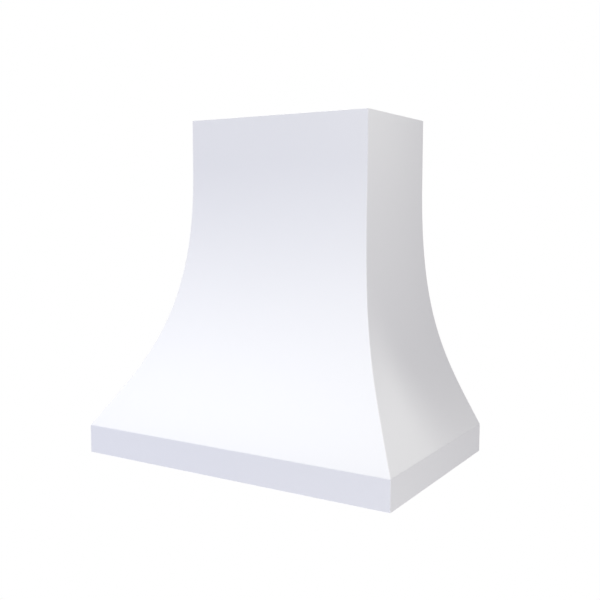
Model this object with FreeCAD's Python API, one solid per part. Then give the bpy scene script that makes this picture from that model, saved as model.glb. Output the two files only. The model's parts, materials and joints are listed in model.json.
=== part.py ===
import FreeCAD, Part
import math
import os

Vec = FreeCAD.Vector

# Canopy, overall
hood_width = 914.4
hood_depth = 573.0
hood_height = 914.4
apron_height = 76.2
chimney_width = 548.6
chimney_depth = 337.0
shell_sheet = 1.2
hem_width = 18.0
weld_gap = 0.2

# Flare curves: straight chimney above the flare, then the curve's two handles as shares of its fall and run
side_straight = 174.4
side_pull = 0.572
side_run_share = 0.563
side_rise_share = 0.262
front_straight = 124.4
front_pull = 0.588
front_run_share = 0.369
front_rise_share = 0.180

# Back panel and its fixings to the wall studs
stud_spacing = 406.4
wall_row_spacing = 300.0
wall_row_low = 480.0
wall_hole_radius = 4.0
supply_hole_radius = 11.1
supply_bore_radius = 7.0
supply_bushing_length = 14.0

# Top plate and duct collar
top_recess = 62.0
top_sheet = 1.5
top_skirt = 25.0
collar_radius = 75.0
collar_sheet = 1.0
collar_height = 48.0
collar_flange = 18.0
stop_ledge = 3.0

# Damper
damper_rod_radius = 2.0
damper_rod_height = 16.0
flap_sheet = 0.8
flap_edge_gap = 1.2
knuckle_wall = 1.2
knuckle_length = 16.0
running_gap = 0.05
seat_gap = 0.3

# Blower
wheel_radius = 90.0
wheel_width = 150.0
wheel_side_gap = 10.0
blade_depth = 14.5
blade_sweep_deg = 12.0
blade_angle_deg = 0.7
blade_bow = 0.3
blade_count = 36
wheel_sheet = 2.0
hub_radius = 12.0
hub_length = 20.0
hub_fit = 0.02
scroll_start_gap = 10.0
scroll_growth = 14.0
scroll_sheet = 1.2
scroll_wall_gap = 55.0
outlet_margin = 3.0
outlet_rise = 185.0
outlet_flange_width = 15.0
outlet_flange_sheet = 2.0
inlet_radius = 70.0
inlet_curl = 10.0
inlet_sheet = 1.0
inlet_flange = 10.0

# Motor
shaft_radius = 4.0
motor_radius = 46.0
motor_shaft_grip = 42.0
motor_bell_radius = 36.8
motor_cap = 21.0
motor_offset = 14.0
motor_flange = 5.0
motor_flange_sheet = 3.0
bracket_sheet = 2.5
bracket_ring = 8.0
bracket_arm = 16.0
capacitor_width = 38.0
capacitor_height = 56.0
capacitor_depth = 26.0
capacitor_corner = 3.0

# Liner pan
liner_sheet = 1.0
liner_gap = 0.5
rim_ledge = 22.0
liner_recess = 32.0
front_strip = 118.0
rear_strip = 60.0
end_strip = 52.0
bay_stiffener = 13.0

# Grease filters
filter_count = 3
filter_gap = 3.0
filter_height = 24.0
filter_sheet = 1.0
filter_lip = 14.0
tab_width = 30.0
tab_reach = 14.0
baffle_width = 34.0
baffle_leg = 12.0
baffle_sheet = 0.8
baffle_gap_min = 8.0
handle_width = 60.0
handle_drop = 22.0
handle_bend = 8.0
handle_wire = 2.0
clip_width = 16.0
clip_sheet = 0.8
clip_bump = 1.0

# Lamps
lamp_end_gap = 130.0
lamp_radius = 30.0
lamp_lens_radius = 28.0
lamp_bezel_radius = 37.0
lamp_bezel_depth = 3.0
lamp_bezel_flare = 1.5
lamp_lens_sheet = 2.4
lamp_height = 24.0
lamp_fin_pitch = 8.0
lamp_fin_gap = 4.0
lamp_fin_depth = 12.0
lamp_ear = 10.0

# Controls
button_count = 5
button_pitch = 26.0
button_radius = 6.5
button_gap = 0.3
button_proud = 3.0
button_travel = 2.5
button_collar = 1.5
button_chamfer = 0.8
stem_radius = 2.5
stem_length = 9.0
control_plate_sheet = 1.5
control_plate_margin = 12.0
control_plate_depth = 36.0
control_plate_corner = 4.0
switch_depth = 34.0
switch_height = 28.0
switch_wall = 5.0

# Junction box and cables
junction_x = 150.0
junction_z = 300.0
junction_width = 110.0
junction_height = 80.0
junction_depth = 42.0
junction_sheet = 1.2
junction_ear = 14.0
terminal_width = 60.0
terminal_height = 24.0
terminal_depth = 22.0
terminal_count = 3
terminal_hole_radius = 4.0
cable_radius = 3.5
cable_bend = 60.0
cable_bend_share = 0.45
cable_wall_gap = 12.0
cable_drop_gap = 30.0
cable_entry_inset = 14.0
cable_clip_gap = 0.2
cable_clip_wall = 1.5
cable_clip_length = 12.0

# Screws
screw_radius = 2.0
screw_head_radius = 3.8
screw_head_height = 2.2
screw_hole_gap = 0.15
screw_end = 3.0

X_AXIS = Vec(1, 0, 0)
Y_AXIS = Vec(0, 1, 0)
Z_AXIS = Vec(0, 0, 1)


def box(x0, x1, y0, y1, z0, z1):
    """Block between two corners."""
    return Part.makeBox(x1 - x0, y1 - y0, z1 - z0, Vec(x0, y0, z0))


def rod(radius, start, axis, length):
    """Cylinder that starts at a point and runs along an axis."""
    return Part.makeCylinder(radius, length, start, axis)


def tube(outer, inner, start, axis, length):
    """Hollow cylinder."""
    return rod(outer, start, axis, length).cut(rod(inner, start, axis, length))


def face_from(edges):
    """Flat face inside a closed ring of edges."""
    return Part.Face(Part.Wire(Part.__sortEdges__(edges)))


def lines(points):
    """Straight edges through a row of points."""
    return Part.makePolygon(points).Edges


def joined(first, *others):
    """One solid made of several that meet."""
    return first.multiFuse(list(others)).removeSplitter()


def revolved(edges, centre, axis):
    """Ring swept by a closed section about an axis."""
    return face_from(edges).revolve(centre, axis, 360)


def upright_edges(solid):
    """Edges of a solid that run straight up."""
    return [e for e in solid.Edges if abs(e.tangentAt(e.FirstParameter).z) > 0.9]


def save(name, *solids):
    """Write one piece, or a group of identical ones, to its own file."""
    shape = solids[0] if len(solids) == 1 else Part.makeCompound(list(solids))
    shape.exportStep("parts/%s.step" % name)


def flare_points(outer, inner, straight, pull, run_share, rise_share):
    """Handles (out, height) of one flare, from the chimney down to the crease of the apron."""
    top = hood_height - straight
    fall = top - apron_height
    run = outer - inner
    low = (outer - run_share * run, apron_height + rise_share * fall)
    return [(inner, top), (inner, top - pull * fall), low, (outer, apron_height)]


def crossing(p, d, q, e):
    """Point where the line through p along d meets the line through q along e."""
    det = d[0] * e[1] - d[1] * e[0]
    s = ((q[0] - p[0]) * e[1] - (q[1] - p[1]) * e[0]) / det
    return (p[0] + s * d[0], p[1] + s * d[1])


def inset_flare(points, inset):
    """Handles of the same flare moved inward by a distance."""
    legs = []
    for a, b in zip(points, points[1:]):
        length = math.hypot(b[0] - a[0], b[1] - a[1])
        d = ((b[0] - a[0]) / length, (b[1] - a[1]) / length)
        legs.append(((a[0] + inset * d[1], a[1] - inset * d[0]), d))
    apron_line = ((points[3][0] - inset, 0.0), (0.0, 1.0))
    moved = [(points[0][0] - inset, points[0][1])]
    for (p, d), (q, e) in zip(legs, legs[1:] + [apron_line]):
        moved.append(crossing(p, d, q, e))
    return moved


def flare_path(points, place, top, bottom):
    """Edges down one flare: chimney line, curve, apron line."""
    curve = Part.BezierCurve()
    curve.setPoles([place(*p) for p in points])
    chimney = Part.makeLine(place(points[0][0], top), place(*points[0]))
    apron = Part.makeLine(place(*points[3]), place(points[3][0], bottom))
    return [chimney, curve.toShape(), apron]


side_flare = flare_points(
    hood_width / 2, chimney_width / 2, side_straight, side_pull, side_run_share, side_rise_share
)
front_flare = flare_points(
    hood_depth, chimney_depth, front_straight, front_pull, front_run_share, front_rise_share
)


def band(points, outer_inset, inner_inset, place):
    """Face between two insets of one flare, over the full height."""
    outer = inset_flare(points, outer_inset)
    inner = inset_flare(points, inner_inset)
    edges = flare_path(outer, place, hood_height, 0.0)
    edges += flare_path(inner, place, hood_height, 0.0)
    for i, height in ((0, hood_height), (3, 0.0)):
        edges.append(Part.makeLine(place(outer[i][0], height), place(inner[i][0], height)))
    return face_from(edges)


def side_block(inset, y0, y1):
    """Everything between the two side flares, at an inset from their outside."""
    points = inset_flare(side_flare, inset)
    right = flare_path(points, lambda u, h: Vec(u, y0, h), hood_height, 0.0)
    left = flare_path(points, lambda u, h: Vec(-u, y0, h), hood_height, 0.0)
    ends = []
    for i, height in ((0, hood_height), (3, 0.0)):
        ends.append(Part.makeLine(Vec(points[i][0], y0, height), Vec(-points[i][0], y0, height)))
    return face_from(right + left + ends).extrude(Vec(0, y1 - y0, 0))


def front_block(inset):
    """Everything behind the front flare, at an inset from its outside."""
    points = inset_flare(front_flare, inset)
    start = -hood_width / 2
    edges = flare_path(points, lambda u, h: Vec(start, -u, h), hood_height, 0.0)
    edges += lines([
        Vec(start, -points[0][0], hood_height),
        Vec(start, 0, hood_height),
        Vec(start, 0, 0),
        Vec(start, -points[3][0], 0),
    ])
    return face_from(edges).extrude(Vec(hood_width, 0, 0))


def panel_section(points, place):
    """Section of a canopy sheet with its hems folded inward at the top and at the rim."""
    inner = inset_flare(points, shell_sheet)
    low, high = shell_sheet, hood_height - shell_sheet
    edges = flare_path(points, place, hood_height, 0.0)
    edges += flare_path(inner, place, high, low)
    edges += lines([
        place(points[3][0], 0.0),
        place(points[3][0] - hem_width, 0.0),
        place(points[3][0] - hem_width, low),
        place(inner[3][0], low),
    ])
    edges += lines([
        place(inner[0][0], high),
        place(points[0][0] - hem_width, high),
        place(points[0][0] - hem_width, hood_height),
        place(points[0][0], hood_height),
    ])
    return face_from(edges)


def pan_screw(point, axis, grip):
    """Pan-head screw whose head sits on a point and whose shank runs along an axis."""
    head = rod(screw_head_radius, point - axis * screw_head_height, axis, screw_head_height)
    return joined(head, rod(screw_radius, point, axis, grip + screw_end))


def screw_hole(point, axis, depth):
    """Clearance hole for a screw, from its head face inward."""
    return rod(screw_radius + screw_hole_gap, point - axis, axis, depth + 2.0)


def wire_round(path, radius):
    """Round wire swept along a path of lines and tangent bends."""
    start = path.OrderedEdges[0]
    at = start.FirstParameter if start.Orientation == "Forward" else start.LastParameter
    ring = Part.Wire(Part.makeCircle(radius, start.valueAt(at), start.tangentAt(at)))
    return path.makePipe(Part.Face(ring))


def cable(points):
    """Round cable through square corners, each a tangent bend as wide as its two runs allow."""
    edges = []
    start = points[0]
    for before, corner, after in zip(points, points[1:], points[2:]):
        shorter = min(before.distanceToPoint(corner), after.distanceToPoint(corner))
        bend = min(cable_bend, cable_bend_share * shorter)
        into = (before - corner).normalize()
        out = (after - corner).normalize()
        first = corner + into * bend
        last = corner + out * bend
        middle = corner + (into + out) * bend * (1 - math.sqrt(0.5))
        edges.append(Part.makeLine(start, first))
        edges.append(Part.Arc(first, middle, last).toShape())
        start = last
    edges.append(Part.makeLine(start, points[-1]))
    return wire_round(Part.Wire(edges), cable_radius)


def cable_clip(point, along, down, stand):
    """Clip round a cable at a point, on a foot that stands on the sheet below it."""
    outside = cable_radius + cable_clip_wall
    half = along * cable_clip_length / 2
    aside = along.cross(down) * outside
    near, far = point - half - aside, point + half + aside + down * stand
    low = [min(pair) for pair in zip(near, far)]
    high = [max(pair) for pair in zip(near, far)]
    foot = box(low[0], high[0], low[1], high[1], low[2], high[2])
    strap = rod(outside, point - half, along, cable_clip_length)
    bore = rod(cable_radius + cable_clip_gap, point - along * cable_clip_length, along, 2 * cable_clip_length)
    return joined(foot, strap).cut(bore)


os.makedirs("parts", exist_ok=True)

# Planes that several pieces share
half_width = hood_width / 2
back_inner = -shell_sheet
flange_face = -2 * shell_sheet
chimney_inner_x = chimney_width / 2 - shell_sheet - weld_gap
chimney_inner_y = -(chimney_depth - shell_sheet - weld_gap)
top_face = hood_height - top_recess
top_under = top_face - top_sheet
duct_bore_radius = collar_radius - collar_sheet
outlet_half_depth = duct_bore_radius + outlet_margin
scroll_rear = -scroll_wall_gap - scroll_sheet
duct_y = scroll_rear - outlet_half_depth
scroll_radius = wheel_radius + scroll_start_gap
axis_y = scroll_rear - scroll_radius - 3 * scroll_growth
axis_z = top_under - outlet_rise
axis_point = Vec(0, axis_y, axis_z)
scroll_half = wheel_width / 2 + wheel_side_gap
cheek_outer = scroll_half + scroll_sheet
outlet_top = top_under - outlet_flange_sheet
liner_under = liner_recess
liner_top = liner_recess + liner_sheet

# Countersunk screws that hold the liner to the hems
hem_mid = hem_width / 2
screw_run_x = half_width - hem_mid
screw_run_y = hood_depth - hem_mid
liner_screw_points = []
for share in (-0.7, 0.0, 0.7):
    liner_screw_points.append(Vec(share * screw_run_x, -screw_run_y, 0))
    liner_screw_points.append(Vec(share * screw_run_x, -hem_mid, 0))
for share in (0.25, 0.75):
    liner_screw_points.append(Vec(screw_run_x, -share * hood_depth, 0))
    liner_screw_points.append(Vec(-screw_run_x, -share * hood_depth, 0))


def liner_screw(point, gap):
    """Countersunk screw flush with the rim, or its hole when a gap is given."""
    cone = Part.makeCone(screw_head_radius + gap, screw_radius + gap, shell_sheet, point, Z_AXIS)
    shank = rod(screw_radius + gap, point, Z_AXIS, shell_sheet + liner_sheet + screw_end)
    return joined(cone, shank)


liner_screws = [liner_screw(p, 0.0) for p in liner_screw_points]
liner_screw_holes = [liner_screw(p, screw_hole_gap) for p in liner_screw_points]

# Canopy sheets
front_face = panel_section(front_flare, lambda u, h: Vec(-half_width, -u, h))
front_panel = front_face.extrude(Vec(hood_width, 0, 0)).common(side_block(0.0, -hood_depth, 0.0))

back_panel = joined(
    side_block(shell_sheet + weld_gap, back_inner, 0.0),
    box(
        -half_width + shell_sheet + weld_gap, half_width - shell_sheet - weld_gap,
        -hem_width, 0.0, 0.0, shell_sheet,
    ),
)
wall_holes = []
for x in (-stud_spacing / 2, stud_spacing / 2):
    for z in (wall_row_low, wall_row_low + wall_row_spacing):
        wall_holes.append(rod(wall_hole_radius, Vec(x, 2 * back_inner, z), Y_AXIS, 4 * shell_sheet))
supply_z = junction_z - junction_height / 4
supply_point = Vec(junction_x, 0, supply_z)
supply_hole = rod(supply_hole_radius, supply_point - Y_AXIS * 2 * shell_sheet, Y_AXIS, 4 * shell_sheet)
junction_screw_points = []
for side in (-1, 1):
    reach = side * (junction_width + junction_ear) / 2
    junction_screw_points.append(Vec(junction_x + reach, back_inner - junction_sheet, junction_z))
junction_holes = [screw_hole(p, Y_AXIS, junction_sheet + shell_sheet) for p in junction_screw_points]
back_panel = back_panel.cut(wall_holes + [supply_hole] + junction_holes + liner_screw_holes)

side_sheet = band(side_flare, 0.0, shell_sheet, lambda u, h: Vec(u, -hood_depth, h))
side_web = side_sheet.extrude(Vec(0, hood_depth, 0)).common(front_block(shell_sheet + weld_gap))
side_hems = []
for reach, depth, rear, low in (
    (chimney_width / 2, chimney_depth, back_inner, hood_height - shell_sheet),
    (half_width, hood_depth, -hem_width, 0.0),
):
    side_hems.append(box(
        reach - hem_width, reach - shell_sheet / 2,
        hem_width + weld_gap - depth, rear - weld_gap, low, low + shell_sheet,
    ))
rear_flange = band(
    side_flare, shell_sheet / 2, shell_sheet + hem_width, lambda u, h: Vec(u, flange_face, h)
).extrude(Vec(0, shell_sheet, 0))
right_side_panel = joined(side_web, rear_flange, *side_hems)
right_side_panel = right_side_panel.cut([front_panel, back_panel] + liner_screw_holes)
left_side_panel = right_side_panel.mirror(Vec(0, 0, 0), X_AXIS)
front_panel = front_panel.cut(liner_screw_holes)

# Recessed top plate with a skirt, and the duct collar on it
outlet_screw_points = []
for x in (-1, 1):
    for y in (-1, 1):
        outlet_screw_points.append(Vec(
            x * (cheek_outer + outlet_flange_width / 2),
            duct_y + y * (outlet_half_depth + scroll_sheet + outlet_flange_width / 2),
            top_face,
        ))
outlet_holes = [screw_hole(p, -Z_AXIS, top_sheet + outlet_flange_sheet) for p in outlet_screw_points]
collar_base = top_face + collar_sheet
collar_screw_points = []
for i in range(4):
    turn = math.radians(45 + 90 * i)
    reach = collar_radius + collar_flange / 2
    collar_screw_points.append(Vec(reach * math.cos(turn), duct_y + reach * math.sin(turn), collar_base))
collar_holes = [screw_hole(p, -Z_AXIS, collar_sheet + top_sheet) for p in collar_screw_points]
plate_rear = flange_face - weld_gap
top_plate = box(
    -chimney_inner_x, chimney_inner_x, chimney_inner_y, plate_rear, top_face - top_skirt, top_face
)
top_plate = top_plate.cut(box(
    -chimney_inner_x + top_sheet, chimney_inner_x - top_sheet,
    chimney_inner_y + top_sheet, plate_rear - top_sheet,
    top_face - top_skirt, top_under,
))
duct_hole = rod(duct_bore_radius, Vec(0, duct_y, top_under - 1), Z_AXIS, top_sheet + 2)
top_plate = top_plate.cut([duct_hole] + outlet_holes + collar_holes)

rod_z = collar_base + damper_rod_height
rod_start = Vec(-collar_radius + running_gap, duct_y, rod_z)
rod_length = 2 * (collar_radius - running_gap)
ledge_top = rod_z - flap_sheet / 2 - seat_gap
duct_centre = Vec(0, duct_y, top_face)
duct_collar = joined(
    tube(collar_radius + collar_flange, duct_bore_radius, duct_centre, Z_AXIS, collar_sheet),
    tube(collar_radius, duct_bore_radius, duct_centre, Z_AXIS, collar_sheet + collar_height),
    tube(
        duct_bore_radius + collar_sheet / 2, duct_bore_radius - stop_ledge,
        Vec(0, duct_y, ledge_top - collar_sheet), Z_AXIS, collar_sheet,
    ),
)
rod_bore = rod(damper_rod_radius + running_gap, rod_start - X_AXIS, X_AXIS, rod_length + 2)
duct_collar = duct_collar.cut([rod_bore] + collar_holes)
damper_rod = rod(damper_rod_radius, rod_start, X_AXIS, rod_length)

knuckle_bore = damper_rod_radius + running_gap
knuckle_radius = knuckle_bore + knuckle_wall
flap_edge = knuckle_radius + 2 * seat_gap
flap_radius = duct_bore_radius - flap_edge_gap
knuckle_step = knuckle_length + 2 * seat_gap


def damper_flap(side, first):
    """Half-disc flap on one side of the rod, with two knuckles round it."""
    disc = rod(flap_radius, Vec(0, duct_y, rod_z - flap_sheet / 2), Z_AXIS, flap_sheet)
    near = duct_y + side * flap_edge
    far = duct_y + side * flap_radius
    low, high = min(near, far), max(near, far)
    flap = disc.common(box(-flap_radius, flap_radius, low, high, rod_z - flap_sheet, rod_z + flap_sheet))
    solids = [flap]
    for start in (first, first + 2 * knuckle_step):
        solids.append(tube(knuckle_radius, knuckle_bore, Vec(start, duct_y, rod_z), X_AXIS, knuckle_length))
        arm_near = duct_y + side * (knuckle_bore + knuckle_wall / 2)
        arm_far = near + side * flap_sheet
        solids.append(box(
            start, start + knuckle_length, min(arm_near, arm_far), max(arm_near, arm_far),
            rod_z - flap_sheet / 2, rod_z + flap_sheet / 2,
        ))
    return joined(*solids)


front_damper_flap = damper_flap(-1, -2 * knuckle_step)
rear_damper_flap = damper_flap(1, -knuckle_step)

# Scroll: three arcs of growing radius round the wheel, then straight up to the outlet
scroll_front_y = duct_y - outlet_half_depth


def scroll_edges(offset, x):
    """Open path of the scroll wall at an offset outward, from the front of the outlet round to its rear."""
    first = scroll_radius + offset
    second = first + scroll_growth
    third = second + scroll_growth
    near_y = scroll_front_y - offset
    tongue = Vec(x, near_y, axis_z + math.sqrt(first ** 2 - (axis_y - near_y) ** 2))
    mid_1 = math.radians(135)
    mid_2 = math.radians(225)
    mid_3 = math.radians(315)
    c2_y = axis_y + scroll_growth
    c3_z = axis_z + scroll_growth
    front = Vec(x, axis_y - first, axis_z)
    bottom = Vec(x, c2_y, axis_z - second)
    rear = Vec(x, c2_y + third, c3_z)
    arc_1 = Vec(x, axis_y + first * math.cos(mid_1), axis_z + first * math.sin(mid_1))
    arc_2 = Vec(x, c2_y + second * math.cos(mid_2), axis_z + second * math.sin(mid_2))
    arc_3 = Vec(x, c2_y + third * math.cos(mid_3), c3_z + third * math.sin(mid_3))
    return [
        Part.makeLine(Vec(x, near_y, outlet_top), tongue),
        Part.Arc(tongue, arc_1, front).toShape(),
        Part.Arc(front, arc_2, bottom).toShape(),
        Part.Arc(bottom, arc_3, rear).toShape(),
        Part.makeLine(rear, Vec(x, rear.y, outlet_top)),
    ]


def outlet_lips(x):
    """Edges that close the scroll wall at its two outlet ends."""
    ends = []
    for y, side in ((scroll_front_y, -1), (scroll_rear, 1)):
        ends.append(Part.makeLine(Vec(x, y, outlet_top), Vec(x, y + side * scroll_sheet, outlet_top)))
    return ends


wrap_face = face_from(
    scroll_edges(0.0, -scroll_half) + scroll_edges(scroll_sheet, -scroll_half) + outlet_lips(-scroll_half)
)
scroll_wrap = wrap_face.extrude(X_AXIS * 2 * scroll_half)

inlet_hole_radius = inlet_radius + inlet_curl + seat_gap
inlet_screw_reach = inlet_radius + inlet_curl + inlet_flange / 2
inlet_screw_points = []
for i in range(3):
    turn = math.radians(90 + 120 * i)
    inlet_screw_points.append(Vec(
        0, axis_y + inlet_screw_reach * math.cos(turn), axis_z + inlet_screw_reach * math.sin(turn)
    ))
through_inlets = []
for p in inlet_screw_points:
    through_inlets.append(rod(screw_radius + screw_hole_gap, p - X_AXIS * half_width, X_AXIS, hood_width))

cheek_close = Part.makeLine(
    Vec(scroll_half, scroll_front_y - scroll_sheet, outlet_top),
    Vec(scroll_half, scroll_rear + scroll_sheet, outlet_top),
)
cheek_face = face_from(scroll_edges(scroll_sheet, scroll_half) + [cheek_close])
cheek_hole = rod(inlet_hole_radius, axis_point + X_AXIS * (scroll_half - 1), X_AXIS, scroll_sheet + 2)
right_cheek = cheek_face.extrude(X_AXIS * scroll_sheet).cut([cheek_hole] + through_inlets)
left_cheek = right_cheek.mirror(Vec(0, 0, 0), X_AXIS)

outlet_flange = box(
    -cheek_outer - outlet_flange_width, cheek_outer + outlet_flange_width,
    scroll_front_y - scroll_sheet - outlet_flange_width, scroll_rear + scroll_sheet + outlet_flange_width,
    outlet_top, top_under,
)
outlet_mouth = box(-scroll_half, scroll_half, scroll_front_y, scroll_rear, outlet_top - 1, top_under + 1)
outlet_flange = outlet_flange.cut([outlet_mouth] + outlet_holes)

# Bell-mouthed inlet ring on each cheek
ring_face = cheek_outer + inlet_sheet
throat = ring_face - inlet_curl
curl_mid = math.sqrt(0.5)
curl_thin = inlet_curl - inlet_sheet


def ring_point(x, radius):
    """Point of the inlet ring's section, by its distance along the shaft and from it."""
    return Vec(x, axis_y, axis_z + radius)


curl_radius = inlet_radius + inlet_curl
ring_rim = curl_radius + inlet_flange
ring_section = lines([
    ring_point(ring_face, curl_radius),
    ring_point(ring_face, ring_rim),
    ring_point(cheek_outer, ring_rim),
    ring_point(cheek_outer, curl_radius),
])
ring_section.append(Part.Arc(
    ring_point(cheek_outer, curl_radius),
    ring_point(throat + curl_thin * curl_mid, curl_radius - curl_thin * curl_mid),
    ring_point(throat, inlet_radius + inlet_sheet),
).toShape())
ring_section += lines([ring_point(throat, inlet_radius + inlet_sheet), ring_point(throat, inlet_radius)])
ring_section.append(Part.Arc(
    ring_point(throat, inlet_radius),
    ring_point(throat + inlet_curl * curl_mid, curl_radius - inlet_curl * curl_mid),
    ring_point(ring_face, curl_radius),
).toShape())
right_inlet_ring = revolved(ring_section, axis_point, X_AXIS).cut(through_inlets)
left_inlet_ring = right_inlet_ring.mirror(Vec(0, 0, 0), X_AXIS)

# Double-inlet wheel: two end rings, a centre disc with a hub, and forward-curved blades
blade_rim = wheel_radius - wheel_sheet / 4
blade_root = blade_rim - blade_depth
blade_length = wheel_width - wheel_sheet
blade_start = axis_point - X_AXIS * blade_length / 2


def wheel_point(radius, degrees):
    """Point at the blades' left end by radius and angle."""
    turn = math.radians(degrees)
    return blade_start + Vec(0, radius * math.cos(turn), radius * math.sin(turn))


def blade_arc(turned):
    """Curve of one blade face from root to rim."""
    root = wheel_point(blade_root, turned)
    middle = wheel_point((blade_root + blade_rim) / 2, turned + blade_bow * blade_sweep_deg)
    rim = wheel_point(blade_rim, turned + blade_sweep_deg)
    return Part.Arc(root, middle, rim).toShape()


blade_edges = [blade_arc(0.0), blade_arc(blade_angle_deg)]
for radius, turned in ((blade_root, 0.0), (blade_rim, blade_sweep_deg)):
    thick = turned + blade_angle_deg
    blade_edges.append(Part.makeLine(wheel_point(radius, turned), wheel_point(radius, thick)))
blade = face_from(blade_edges).extrude(X_AXIS * blade_length)
wheel_solids = []
for i in range(blade_count):
    turned = blade.copy()
    turned.rotate(axis_point, X_AXIS, 360.0 * i / blade_count)
    wheel_solids.append(turned)
ring_bore = blade_root - wheel_sheet / 2
for x in (-wheel_width / 2, wheel_width / 2 - wheel_sheet):
    wheel_solids.append(tube(wheel_radius, ring_bore, axis_point + X_AXIS * x, X_AXIS, wheel_sheet))
wheel_solids.append(rod(hub_radius, axis_point - X_AXIS * hub_length / 2, X_AXIS, hub_length))
wheel_disc = rod(wheel_radius, axis_point - X_AXIS * wheel_sheet / 2, X_AXIS, wheel_sheet)
impeller = wheel_disc.multiFuse(wheel_solids)
impeller = impeller.cut(rod(shaft_radius + hub_fit, axis_point - X_AXIS * hub_length, X_AXIS, 2 * hub_length))

# Motor in the right half of the wheel, carried by a three-armed bracket on the right inlet ring
shaft_start = -hub_length / 2 - shaft_radius
shaft_depth = motor_offset + motor_shaft_grip
motor_shaft = rod(shaft_radius, axis_point + X_AXIS * shaft_start, X_AXIS, shaft_depth - shaft_start)
bracket_out = ring_face + bracket_sheet
motor_rear = bracket_out + motor_cap
motor_profile = [
    (motor_offset, 0.0),
    (motor_offset, motor_bell_radius),
    (motor_offset + motor_radius - motor_bell_radius, motor_radius),
    (bracket_out, motor_radius),
    (bracket_out, motor_radius + motor_flange),
    (bracket_out + motor_flange_sheet, motor_radius + motor_flange),
    (bracket_out + motor_flange_sheet, motor_radius),
    (motor_rear, motor_bell_radius),
    (motor_rear, 0.0),
    (motor_offset, 0.0),
]
motor = revolved(lines([ring_point(x, r) for x, r in motor_profile]), axis_point, X_AXIS)
motor = motor.cut(rod(
    shaft_radius + running_gap, axis_point + X_AXIS * (motor_offset - 1),
    X_AXIS, shaft_depth - motor_offset + 2,
))

bracket_start = axis_point + X_AXIS * ring_face
bracket_bore = motor_radius + running_gap
bracket_solids = []
for i in range(3):
    arm = box(
        ring_face, bracket_out, axis_y + bracket_bore, axis_y + ring_rim,
        axis_z - bracket_arm / 2, axis_z + bracket_arm / 2,
    )
    arm.rotate(axis_point, X_AXIS, 90 + 120 * i)
    bracket_solids.append(arm)
motor_bracket = joined(
    rod(bracket_bore + bracket_ring, bracket_start, X_AXIS, bracket_sheet), *bracket_solids
).cut([rod(bracket_bore, bracket_start - X_AXIS, X_AXIS, bracket_sheet + 2)] + through_inlets)

capacitor = box(
    -cheek_outer - capacitor_depth, -cheek_outer,
    duct_y - capacitor_width / 2, duct_y + capacitor_width / 2,
    axis_z + ring_rim, axis_z + ring_rim + capacitor_height,
)
capacitor = capacitor.makeFillet(capacitor_corner, upright_edges(capacitor))

outlet_screws = [pan_screw(p, -Z_AXIS, top_sheet + outlet_flange_sheet) for p in outlet_screw_points]
collar_screws = [pan_screw(p, -Z_AXIS, collar_sheet + top_sheet) for p in collar_screw_points]
inlet_grip = inlet_sheet + scroll_sheet
motor_screws = [
    pan_screw(p + X_AXIS * bracket_out, -X_AXIS, bracket_sheet + inlet_grip) for p in inlet_screw_points
]
inlet_screws = [pan_screw(p - X_AXIS * ring_face, X_AXIS, inlet_grip) for p in inlet_screw_points]

# Liner pan: a lip on the hems, walls up to the recess, and a ceiling with a bay for the filters
recess_x = half_width - rim_ledge
recess_front = -(hood_depth - rim_ledge)
recess_rear = -rim_ledge
bay_x = recess_x - end_strip
bay_front = recess_front + front_strip
bay_rear = recess_rear - rear_strip
lip_x = half_width - shell_sheet - liner_gap
liner_pan = joined(
    box(
        -lip_x, lip_x, -(hood_depth - shell_sheet - liner_gap), flange_face - liner_gap,
        shell_sheet, shell_sheet + liner_sheet,
    ),
    box(
        -recess_x - liner_sheet, recess_x + liner_sheet,
        recess_front - liner_sheet, recess_rear + liner_sheet, shell_sheet, liner_top,
    ),
)
liner_pan = liner_pan.cut(box(-recess_x, recess_x, recess_front, recess_rear, 0, liner_under))
stiffener_top = liner_under + bay_stiffener
liner_pan = joined(liner_pan, box(
    -bay_x - liner_sheet, bay_x + liner_sheet, bay_front - liner_sheet, bay_rear, liner_under, stiffener_top
))
lamp_y = recess_front + front_strip / 2
lamp_x = recess_x - lamp_end_gap
slot_x = (button_count - 1) * button_pitch / 2 + button_radius + button_collar + button_pitch / 6
slot_y = button_radius + button_collar + button_pitch / 8
lamp_holes = []
for x in (-lamp_x, lamp_x):
    lamp_holes.append(rod(lamp_radius + seat_gap, Vec(x, lamp_y, liner_under - 1), Z_AXIS, liner_sheet + 2))
liner_pan = liner_pan.cut([
    box(-bay_x, bay_x, bay_front, bay_rear, 0, stiffener_top + 1),
    box(-slot_x, slot_x, lamp_y - slot_y, lamp_y + slot_y, liner_under - 1, liner_top + 1),
] + lamp_holes + liner_screw_holes)

# Grease filters
filter_width = (2 * bay_x - (filter_count + 1) * filter_gap) / filter_count
filter_front = bay_front + filter_gap
filter_rear = bay_rear - filter_gap
filter_top = liner_under + filter_height
window_width = filter_width - 2 * filter_lip
baffle_count = int((window_width - baffle_gap_min) / (baffle_width + baffle_gap_min))
baffle_gap = (window_width - baffle_count * baffle_width) / (baffle_count + 1)
baffle_front = filter_front + filter_sheet + seat_gap
baffle_rear = filter_rear - filter_sheet - seat_gap
tab_z = liner_top + seat_gap


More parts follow.
